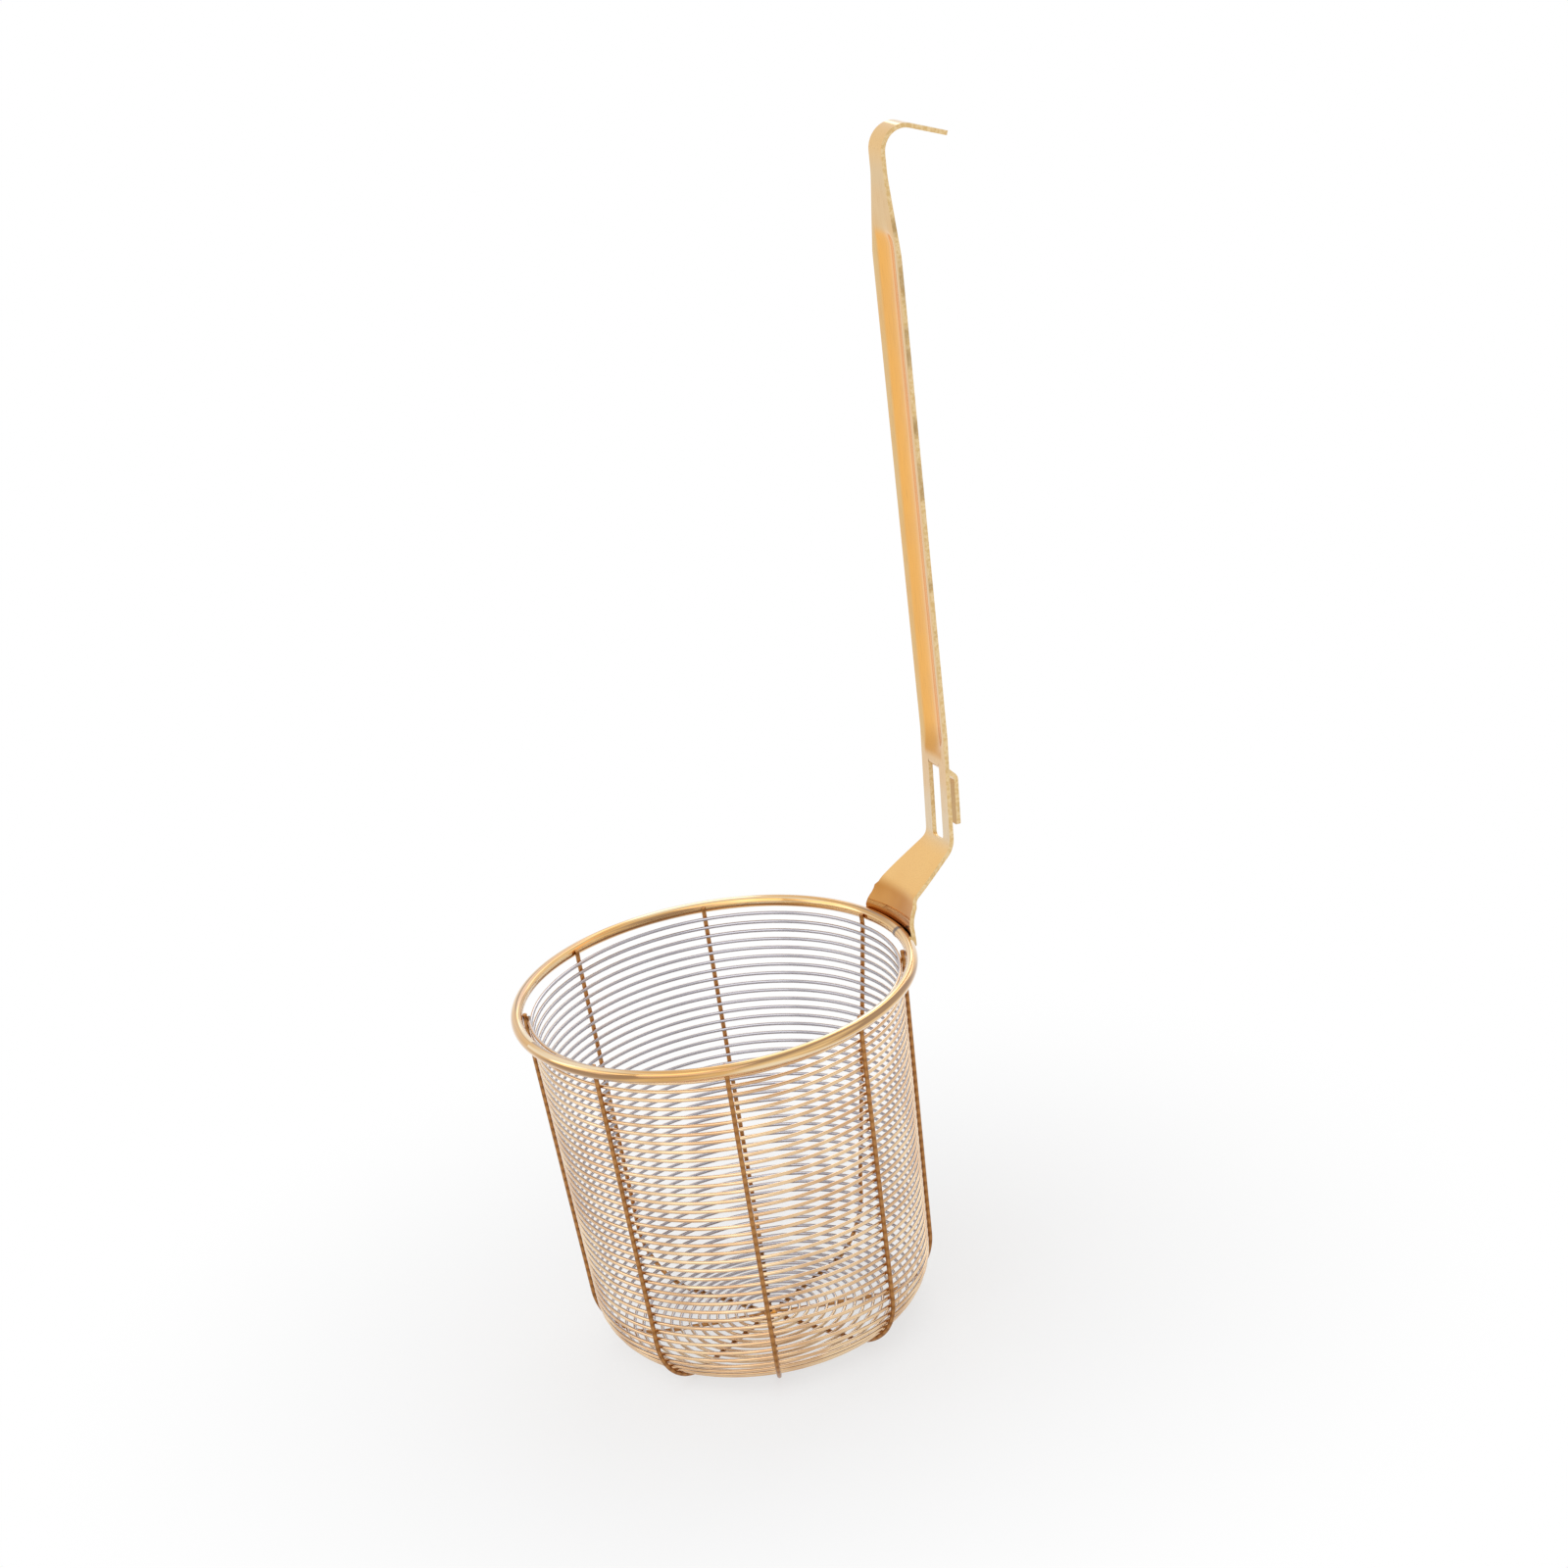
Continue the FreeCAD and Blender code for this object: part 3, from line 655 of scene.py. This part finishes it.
def spiral_wire():
    """The thin wire, first wound turn by turn on a straight drum and then laid against the basket's line."""
    turns = (THIN_END - FIRST_TURN_DROP) / THIN_PITCH
    whole = int(turns)
    bm = bmesh.new()
    for first_way, share in ((FIRST_TURN_DROP, 1.0), (FIRST_TURN_DROP + whole * THIN_PITCH, turns - whole)):
        placed = Matrix.Translation((DRUM_RADIUS, 0, -first_way)) @ Matrix.Rotation(QUARTER_TURN, 4, "X")
        start = wire_circle(bm, THIN_SIDES, THIN_WIRE / 2, placed)
        steps = round(THIN_STEPS * share)
        bmesh.ops.spin(bm, geom=start + edges_of(start), axis=(0, 0, 1), cent=(0, 0, 0),
                       angle=FULL_TURN * share, dvec=(0, 0, -THIN_PITCH * share / steps), steps=steps)
        if share == 1.0:
            turn = bm.verts[:] + bm.edges[:] + bm.faces[:]
            for number in range(1, whole):
                copy = bmesh.ops.duplicate(bm, geom=turn)["geom"]
                moved = [v for v in copy if isinstance(v, bmesh.types.BMVert)]
                bmesh.ops.translate(bm, vec=(0, 0, -THIN_PITCH * number), verts=moved)
    bmesh.ops.remove_doubles(bm, verts=bm.verts, dist=THIN_MERGE)
    bmesh.ops.holes_fill(bm, edges=[e for e in bm.edges if e.is_boundary], sides=THIN_SIDES)
    for v in bm.verts:
        drum = math.hypot(v.co.x, v.co.y)
        radius, height = on_basket(-v.co.z, drum - DRUM_RADIUS)
        v.co = (v.co.x / drum * radius, v.co.y / drum * radius, height)
    bmesh.ops.rotate(bm, verts=bm.verts, cent=(0, 0, 0), matrix=Matrix.Rotation(FIRST_TURN_START, 3, "Z"))
    bmesh.ops.recalc_face_normals(bm, faces=bm.faces)
    finished(bm, "thin_wire_spiral", drawn_thin_wire(), "thin_wire_steel", "spiral_wire")


def weld_beads():
    """One small bead where the thin wire crosses each leg of a rib."""
    bm = bmesh.new()
    for number, side in [(n, s) for n in range(len(RIB_TURNS)) for s in (1, -1)]:
        turns_down = 0
        way = FIRST_TURN_DROP
        while way < THIN_END:
            radius, height, out = on_thin_line(way)
            turn = leg_turn(number, side, height)
            if way > FIRST_TURN_DROP:
                contact = Vector((radius + out.x * THIN_WIRE / 2, 0, height + out.y * THIN_WIRE / 2))
                axes = Matrix(((out.x, 0, out.y), (0, 1, 0), (out.y, 0, -out.x))).transposed().to_4x4()
                sizes = Matrix.Diagonal((BEAD_THICK / 2, BEAD_WIDTH / 2, BEAD_LENGTH / 2, 1))
                place = Matrix.Rotation(turn, 4, "Z") @ Matrix.Translation(contact) @ axes @ sizes
                bmesh.ops.create_icosphere(bm, subdivisions=1, radius=1.0, matrix=place)
                turns_down += 1
            past_start = (turn - FIRST_TURN_START) / FULL_TURN % 1
            way = FIRST_TURN_DROP + THIN_PITCH * (turns_down + past_start) + CLOSE
    bmesh.ops.recalc_face_normals(bm, faces=bm.faces)
    finished(bm, "weld_beads", weld_metal(), "rib_steel")


def centre_weld():
    """The flat blob of weld over the ribs' crossing, with a pit in its top."""
    bm = bmesh.new()
    bmesh.ops.create_uvsphere(bm, u_segments=32, v_segments=20, radius=CENTRE_BEAD / 2)
    for v in bm.verts:
        reach = math.hypot(v.co.x, v.co.y)
        v.co.z *= CENTRE_BEAD_HEIGHT / CENTRE_BEAD
        if v.co.z > 0:
            v.co.z -= CENTRE_PIT_DEPTH * math.exp(-(reach / CENTRE_SPOT * 2) ** 2)
        v.co.z += CENTRE_BEAD_HEIGHT / 2
    bmesh.ops.recalc_face_normals(bm, faces=bm.faces)
    finished(bm, "centre_weld", centre_weld_metal(), "rib_steel")


def rounded_path(points, radii, arc_steps):
    """The points, with an arc of the given radius in place of each one between the ends."""
    path = [points[0]]
    for before, p, after, radius in zip(points, points[1:], points[2:], radii):
        a, b = (before - p).normalized(), (after - p).normalized()
        half = a.angle(b) / 2
        if radius <= 0 or QUARTER_TURN - half < NEARLY_STRAIGHT:
            path.append(p)
            continue
        centre = p + (a + b).normalized() * (radius / math.sin(half))
        first = (p + a * (radius / math.tan(half)) - centre).normalized()
        last = (p + b * (radius / math.tan(half)) - centre).normalized()
        path += [centre + first.slerp(last, k / arc_steps) * radius for k in range(arc_steps + 1)]
    return path + [points[-1]]


def leaning(angle):
    """Unit vector up the strip, as X and Z, where it leans outward by this angle."""
    return Vector((math.sin(angle), math.cos(angle)))


def at_height(start, way, height):
    """The point, as X and Z, on a line through start at this height above the ring."""
    return start + way * ((RING_Z + height - start.y) / way.y)


FOOT_MIDDLE = FOOT_INSIDE + SHEET / 2
FOLD = Vector((FOOT_MIDDLE + FOLD_OUT, RING_Z + FOLD_HEIGHT))
KNEE = FOLD + Vector((CRANK_OUT, CRANK_UP))
SLOT_WAY, GRIP_WAY = leaning(SLOT_LEAN), leaning(HANDLE_LEAN)
SLOT_OUT, GRIP_OUT = Vector((SLOT_WAY.y, -SLOT_WAY.x)), Vector((GRIP_WAY.y, -GRIP_WAY.x))
WAIST = at_height(KNEE, SLOT_WAY, WAIST_HEIGHT)

# Where the grip's line and the hook's meet, which is a little above the crest of the bend between them
HOOK_BEND_HALF = (QUARTER_TURN - HOOK_DROP + HANDLE_LEAN) / 2
HOOK_BEND_TILT = (QUARTER_TURN - HOOK_DROP - HANDLE_LEAN) / 2
HOOK_CENTRE = HOOK_CREST - SHEET / 2 - HOOK_RADIUS
HANDLE_TOP = HOOK_CENTRE + HOOK_RADIUS * math.cos(HOOK_BEND_TILT) / math.sin(HOOK_BEND_HALF)


def width_outline():
    """The strip's side as points of height and half width, made from its corners and their radii."""
    points = [
        (-FOOT_BELOW_RING, 0.0, 0),
        (-FOOT_BELOW_RING, FOOT_HALF_WIDTH, FOOT_CORNER),
        (FOOT_SHOULDER, FOOT_HALF_WIDTH, FOOT_CORNER),
        (FOLD_HEIGHT, FOLD_HALF_WIDTH, FOOT_CORNER),
        (CRANK_SHOULDER, CRANK_SHOULDER_HALF_WIDTH, FOOT_CORNER),
        (FOLD_HEIGHT + CRANK_UP, KNEE_HALF_WIDTH, GRIP_HALF_WIDTH),
        (WAIST_HEIGHT, WAIST_HALF_WIDTH, GRIP_HALF_WIDTH),
        (GRIP_END, GRIP_HALF_WIDTH, 2 * GRIP_HALF_WIDTH),
        (NECK_START, NECK_HALF_WIDTH, 2 * GRIP_HALF_WIDTH),
        (HANDLE_TOP + HOOK_RADIUS, NECK_HALF_WIDTH, 0),
    ]
    return rounded_path([Vector(p[:2]) for p in points], [p[2] for p in points[1:-1]], OUTLINE_STEPS)[1:]


def read_off(outline, height):
    """The value of an outline, a list of points of height and value, at this height."""
    for a, b in zip(outline, outline[1:]):
        if a.x <= height <= b.x and b.x > a.x:
            return a.y + (b.y - a.y) * (height - a.x) / (b.x - a.x)
    return outline[0].y if height < outline[0].x else outline[-1].y


def spaced(marks, most):
    """The marks, with even steps of at most this much between them."""
    out = [marks[0]]
    for a, b in zip(marks, marks[1:]):
        count = max(1, math.ceil((b - a) / most - CLOSE))
        out += [a + (b - a) * k / count for k in range(1, count + 1)]
    return out


def columns(half_width, slot_edge=SLOT_WIDTH / 2):
    """Where the blank's lengthways lines stand, for this half width and this half width of the slot."""
    inner = min(TROUGH_WIDTH / 2, INNER_SHARE * half_width)
    out = []
    for k, mark in enumerate(COLUMN_MARKS):
        place = mark * inner / (TROUGH_WIDTH / 2)
        if k <= SLOT_COLUMN:
            place *= slot_edge / (SLOT_WIDTH / 2)
        out.append(place)
    return out + [inner + (half_width - inner) * s for s in MARGIN_SHARES]


def both_sides(places, point):
    """A row of points from edge to edge of the strip, for these places on each side of its middle."""
    return [point(-p) for p in reversed(places[1:])] + [point(p) for p in places]


def slot_edge_at(height):
    """Half the slot's width at this height, less than full in its two rounded lower corners."""
    above = height - SLOT_BOTTOM
    if 0 <= above < SLOT_CORNER:
        return SLOT_WIDTH / 2 - SLOT_CORNER + math.sqrt(SLOT_CORNER ** 2 - (SLOT_CORNER - above) ** 2)
    return SLOT_WIDTH / 2


def trough_depth(across, height):
    """How far the sheet is pressed outward at this place, with a soft lip round the trough."""
    radius = (TROUGH_WIDTH ** 2 / 4 + TROUGH_DEPTH ** 2) / (2 * TROUGH_DEPTH)
    end = TROUGH_WIDTH / 2
    beyond = max(TROUGH_BOTTOM + end - height, height - TROUGH_TOP + end, 0)
    depth = math.sqrt(max(radius ** 2 - across ** 2 - beyond ** 2, 0)) - (radius - TROUGH_DEPTH)
    soft = TROUGH_LIP / 4
    return soft * math.log(1 + math.exp(depth / soft))


def foot_rows(outline):
    """
    Rows of the foot, wrapped round the ring, flaring up to the fold and bent there. Also gives a function
    from a place across to its point of the fold, and the height where the bend ends.
    """
    foot_path = [Vector((-FOOT_BELOW_RING, FOOT_MIDDLE)), Vector((FLARE_HEIGHT, FOOT_MIDDLE)),
                 Vector((FOLD_HEIGHT, FOLD.x))]
    side = rounded_path(foot_path, [FLARE_ROUND], FLARE_STEPS)

    def fold_at(across):
        x = FOLD.x
        for _ in range(FOLD_TRIES):
            x = math.sqrt(read_off(side, FOLD_HEIGHT + (x - FOLD.x) * CRANK_SLOPE) ** 2 - across ** 2)
        return Vector((x, FOLD.y + (x - FOLD.x) * CRANK_SLOPE))

    before = Vector((FOLD.x - FOLD_OUT, FOLD.y - FOLD_HEIGHT + FLARE_HEIGHT))
    arc = [p - FOLD for p in rounded_path([before, FOLD, KNEE], [FOLD_ROUND], BEND_STEPS)[1:-1]]
    arc_start = FOLD_HEIGHT + arc[0].y
    corner = [FOOT_CORNER * s - FOOT_BELOW_RING for s in FOOT_CORNER_SHARES]
    rows = []
    for height in spaced(corner + [FOOT_SHOULDER, arc_start], FOOT_ROW_STEP)[:-1]:
        share = (height + FOOT_BELOW_RING) / (arc_start + FOOT_BELOW_RING)
        half_width = max(read_off(outline, height), FOOT_HALF_WIDTH - FOOT_CORNER)

        def on_foot(across, height=height, share=share):
            z = height + share * (fold_at(across).y - FOLD.y)
            return Vector((math.sqrt(read_off(side, z) ** 2 - across ** 2), across, RING_Z + z))

        rows.append(both_sides(columns(half_width), on_foot))
    for step in arc:
        def on_fold(across, step=step):
            fold = fold_at(across)
            return Vector((fold.x + step.x, across, fold.y + step.y))

        rows.append(both_sides(columns(read_off(outline, FOLD_HEIGHT + step.y)), on_fold))
    return rows, fold_at, FOLD_HEIGHT + arc[-1].y


def strip_rows():
    """
    Each row of the strip, from the foot's lower edge to the hook's tip, as a list of points from one edge to
    the other, and the numbers of the slot's rows.
    """
    outline = width_outline()
    rows, fold_at, fold_end = foot_rows(outline)

    # Crank, knee and grip, each row told by its height on the strip's side line. That line holds the fold,
    # the knee's bend, the waist, the hook's bend and the tip.
    top = at_height(WAIST, GRIP_WAY, HANDLE_TOP)
    tip = top + Vector((math.cos(HOOK_DROP), -math.sin(HOOK_DROP))) * HOOK_LENGTH
    line = rounded_path([FOLD, KNEE, WAIST, top, tip], [KNEE_RADIUS, 0, HOOK_RADIUS], BEND_STEPS)
    hook_start = BEND_STEPS + 3
    side = [Vector((p.y - RING_Z, p.x)) for p in line[:hook_start + 1]]
    knee_start, knee_end, grip_end = side[1].x, side[BEND_STEPS + 1].x, side[-1].x
    slot_start = [SLOT_BOTTOM + SLOT_CORNER * (1 - math.cos(turn)) for turn in SLOT_CORNER_TURNS]
    marks = spaced([fold_end, knee_start], FOOT_ROW_STEP)[1:]
    marks += spaced([knee_start, SLOT_BOTTOM], KNEE_ROW_STEP)[1:] + slot_start[1:]
    if knee_end > slot_start[-1] + LEAST_ROW_STEP:
        marks.append(knee_end)
    marks += [SLOT_TOP, TROUGH_BOTTOM - ROW_BELOW_TROUGH, TROUGH_BOTTOM, WAIST_HEIGHT]
    for share in TROUGH_END_SHARES:
        marks += [TROUGH_BOTTOM + TROUGH_WIDTH / 2 * share, TROUGH_TOP - TROUGH_WIDTH / 2 * share]
    marks += [TROUGH_TOP, TROUGH_TOP + ROW_ABOVE_TROUGH, grip_end]
    slot_rows = []
    for height in spaced(sorted(set(marks)), ROW_STEP):
        in_slot = SLOT_BOTTOM - CLOSE <= height <= SLOT_TOP + CLOSE
        if in_slot:
            slot_rows.append(len(rows))
        places = columns(read_off(outline, height), slot_edge_at(height) if in_slot else SLOT_WIDTH / 2)
        x = read_off(side, height)
        bent = max(0.0, 1 - (height - fold_end) / (knee_start - fold_end))

        def on_strip(across, height=height, x=x, bent=bent):
            sag = (FOLD.x - fold_at(across).x) * bent
            out = GRIP_OUT * trough_depth(across, height)
            return Vector((x - sag + out.x, across, RING_Z + height - sag * CRANK_SLOPE + out.y))

        rows.append(both_sides(places, on_strip))

    # Hook bend, and the hook's narrowing tip with rounded corners
    for p in line[hook_start + 1:-1]:
        rows.append(both_sides(columns(NECK_HALF_WIDTH), lambda across, p=p: Vector((p.x, across, p.y))))
    bend_end = line[-2]
    length = (tip - bend_end).length
    ways = spaced([0, length - HOOK_TIP_ROUND], ROW_STEP)[1:]
    for way in ways + [length - HOOK_TIP_ROUND * s for s in HOOK_TIP_SHARES]:
        middle = bend_end + (tip - bend_end) * (way / length)
        half_width = NECK_HALF_WIDTH + (HOOK_TIP_HALF_WIDTH - NECK_HALF_WIDTH) * way / length
        past = max(0.0, way - (length - HOOK_TIP_ROUND))
        half_width -= HOOK_TIP_ROUND - math.sqrt(max(HOOK_TIP_ROUND ** 2 - past ** 2, 0))
        places = columns(max(half_width, HOOK_END_HALF_WIDTH))
        rows.append(both_sides(places, lambda across, m=middle: Vector((m.x, across, m.y))))
    return rows, slot_rows


def extruded_row(bm, edges, chain, places):
    """One more row of the blank: the last row's edges, extruded, with the new points at these places."""
    made = bmesh.ops.extrude_edge_only(bm, edges=edges)["geom"]
    new_verts = {v for v in made if isinstance(v, bmesh.types.BMVert)}
    next_chain = []
    for v, place in zip(chain, places):
        partner = next(e.other_vert(v) for e in v.link_edges if e.other_vert(v) in new_verts)
        partner.co = place
        next_chain.append(partner)
    new_edges = [e for e in made if isinstance(e, bmesh.types.BMEdge)]
    return [e for e in new_edges if all(v in new_verts for v in e.verts)], next_chain


def handle():
    """
    The one-piece strip: a blank of rows and columns is bent, pressed and slotted, and gets the sheet's
    thickness and rounded edges at the end.
    """
    rows, slot_rows = strip_rows()
    bm = bmesh.new()
    chain = [bm.verts.new(p) for p in rows[0]]
    edges = [bm.edges.new(pair) for pair in zip(chain, chain[1:])]
    grid = [chain]
    for row in rows[1:]:
        edges, chain = extruded_row(bm, edges, chain, row)
        grid.append(chain)

    # Slot
    middle = len(rows[0]) // 2
    first, last = slot_rows[0], slot_rows[-1]
    inside = range(middle - SLOT_COLUMN, middle + SLOT_COLUMN + 1)
    slot_verts = {grid[r][c] for r in range(first, last + 1) for c in inside}
    cut_out = [f for f in bm.faces if all(v in slot_verts for v in f.verts)]
    bmesh.ops.delete(bm, geom=cut_out, context="FACES")

    # Tongue, from the slot's upper edge
    chain = [grid[last][c] for c in inside]
    edges = [e for e in edges_of(chain) if e.is_boundary]
    root, root_bend = [at_height(KNEE, SLOT_WAY, SLOT_TOP - drop) for drop in (0, TONGUE_ROOT)]
    elbow = at_height(KNEE, SLOT_WAY, SLOT_TOP - TONGUE_DROP) + SLOT_OUT * TONGUE_OFFSET
    tip = at_height(KNEE, SLOT_WAY, TONGUE_TIP) + SLOT_OUT * TONGUE_OFFSET
    line = rounded_path([root, root_bend, elbow, tip], [TONGUE_BEND / 2, TONGUE_BEND], TONGUE_STEPS)
    line = line[1:-1] + [elbow + (tip - elbow) * s for s in TONGUE_SHARES]
    marks = [math.copysign(COLUMN_MARKS[abs(k)], k) for k in range(-SLOT_COLUMN, SLOT_COLUMN + 1)]
    for p in line:
        fitted = 1 - 2 * TONGUE_CLEARANCE / SLOT_WIDTH if p is not line[-1] else TONGUE_TIP_SHARE
        edges, chain = extruded_row(bm, edges, chain, [(p.x, mark * fitted, p.y) for mark in marks])

    bmesh.ops.recalc_face_normals(bm, faces=bm.faces)
    piece = finished(bm, "handle_strip", buffed_strip(), "strip_steel", "handle")
    piece.data.materials.append(sheared_edge())
    wall = piece.modifiers.new("sheet", "SOLIDIFY")
    wall.material_offset_rim = 1
    wall.thickness = SHEET * MM
    wall.offset = 0
    wall.use_even_offset = True
    wall.use_quality_normals = True
    rounding = piece.modifiers.new("edges", "BEVEL")
    rounding.width = EDGE_ROUND * MM
    rounding.segments = EDGE_SEGMENTS
    rounding.limit_method = "ANGLE"
    rounding.angle_limit = EDGE_SHARPNESS
    rounding.harden_normals = True


def camera():
    """The photograph's view: a long lens, from the handle's left and a little above, tipped sideways."""
    level = math.cos(CAMERA_ELEVATION)
    back = Vector((level * math.cos(CAMERA_AZIMUTH), level * math.sin(CAMERA_AZIMUTH),
                   math.sin(CAMERA_ELEVATION)))
    lens = bpy.data.cameras.new("camera")
    lens.lens = CAMERA_LENS
    lens.sensor_width = CAMERA_SENSOR
    lens.clip_end = CAMERA_REACH
    view = bpy.data.objects.new("camera", lens)
    bpy.context.scene.collection.objects.link(view)
    view.location = Vector(CAMERA_TARGET) * MM + back * (CAMERA_DISTANCE * MM)
    view.rotation_mode = "QUATERNION"
    view.rotation_quaternion = (-back).to_track_quat("-Z", "Y") @ Quaternion((0, 0, 1), CAMERA_ROLL)
    bpy.context.scene.camera = view


def softbox(name, place, size, power):
    """A square area lamp that looks at the strainer's middle. Place and size in metres, power in watts."""
    lamp = bpy.data.lights.new(name, "AREA")
    lamp.size = size
    lamp.energy = power
    held = bpy.data.objects.new(name, lamp)
    bpy.context.scene.collection.objects.link(held)
    held.location = place
    held.rotation_euler = (Vector(LAMP_TARGET) - Vector(place)).to_track_quat("-Z", "Y").to_euler()


def background_rays(tree):
    """Socket that is 1 for rays that show the background: from the camera, off metal and through glass."""
    rays = node(tree, "ShaderNodeLightPath").outputs
    mirrored = node(tree, "ShaderNodeMath", MAXIMUM, i0=rays["Is Glossy Ray"],
                    i1=rays["Is Transmission Ray"]).outputs[0]
    return node(tree, "ShaderNodeMath", MAXIMUM, i0=rays["Is Camera Ray"], i1=mirrored).outputs[0]


def floor():
    """Sheet of white paper, which holds the shadow and fades into the white surround."""
    bm = bmesh.new()
    bmesh.ops.create_circle(bm, cap_ends=True, segments=FLOOR_SIDES, radius=FLOOR_RADIUS,
                            matrix=Matrix.Translation((0, 0, -FLOOR_DROP)))
    mesh = bpy.data.meshes.new("floor")
    bm.to_mesh(mesh)
    bm.free()
    material, tree = new_material("matt_white_paper")
    place = node(tree, "ShaderNodeTexCoord").outputs["Object"]
    reach = node(tree, "ShaderNodeVectorMath", LENGTH, i0=place).outputs["Value"]
    paper = node(tree, "ShaderNodeBsdfDiffuse", Color="#F7F7F6").outputs[0]
    white = node(tree, "ShaderNodeEmission", Color="#FFFFFF", Strength=1.0).outputs[0]
    fade = node(tree, "ShaderNodeMapRange", SMOOTH, Value=reach, i1=FADE_START, i2=FADE_END,
                i3=FADE_LEAST).outputs[0]
    shown = node(tree, "ShaderNodeMath", MULTIPLY, i0=fade, i1=background_rays(tree)).outputs[0]
    surface = node(tree, "ShaderNodeMixShader", i0=shown, i1=paper, i2=white).outputs[0]
    node(tree, "ShaderNodeOutputMaterial", Surface=surface)
    mesh.materials.append(material)
    sheet = bpy.data.objects.new("floor", mesh)
    bpy.context.scene.collection.objects.link(sheet)


def surround():
    """White set all round, as the camera and the polished metal see it, and a dimmer light from it."""
    world = bpy.data.worlds.new("studio")
    world.use_nodes = True
    tree = world.node_tree
    tree.nodes.clear()
    white = node(tree, "ShaderNodeBackground", Color="#FFFFFF", Strength=1.0).outputs[0]
    dim = node(tree, "ShaderNodeBackground", Color="#F4F5F8", Strength=0.6).outputs[0]
    both = node(tree, "ShaderNodeMixShader", i0=background_rays(tree), i1=dim, i2=white).outputs[0]
    node(tree, "ShaderNodeOutputWorld", Surface=both)
    bpy.context.scene.world = world


rim_ring()
rib_material = drawn_rib_wire()
for number in range(len(RIB_TURNS)):
    rib(number, rib_material)
spiral_wire()
weld_beads()
centre_weld()
handle()

camera()
floor()
surround()
softbox("key_softbox", place=(-1.0, -1.0, 1.4), size=1.8, power=10)
softbox("side_softbox", place=(-1.4, 0.5, 1.0), size=1.2, power=4)
softbox("back_softbox", place=(1.1, 1.1, 1.4), size=1.4, power=7)
bpy.context.scene.view_settings.view_transform = "Standard"
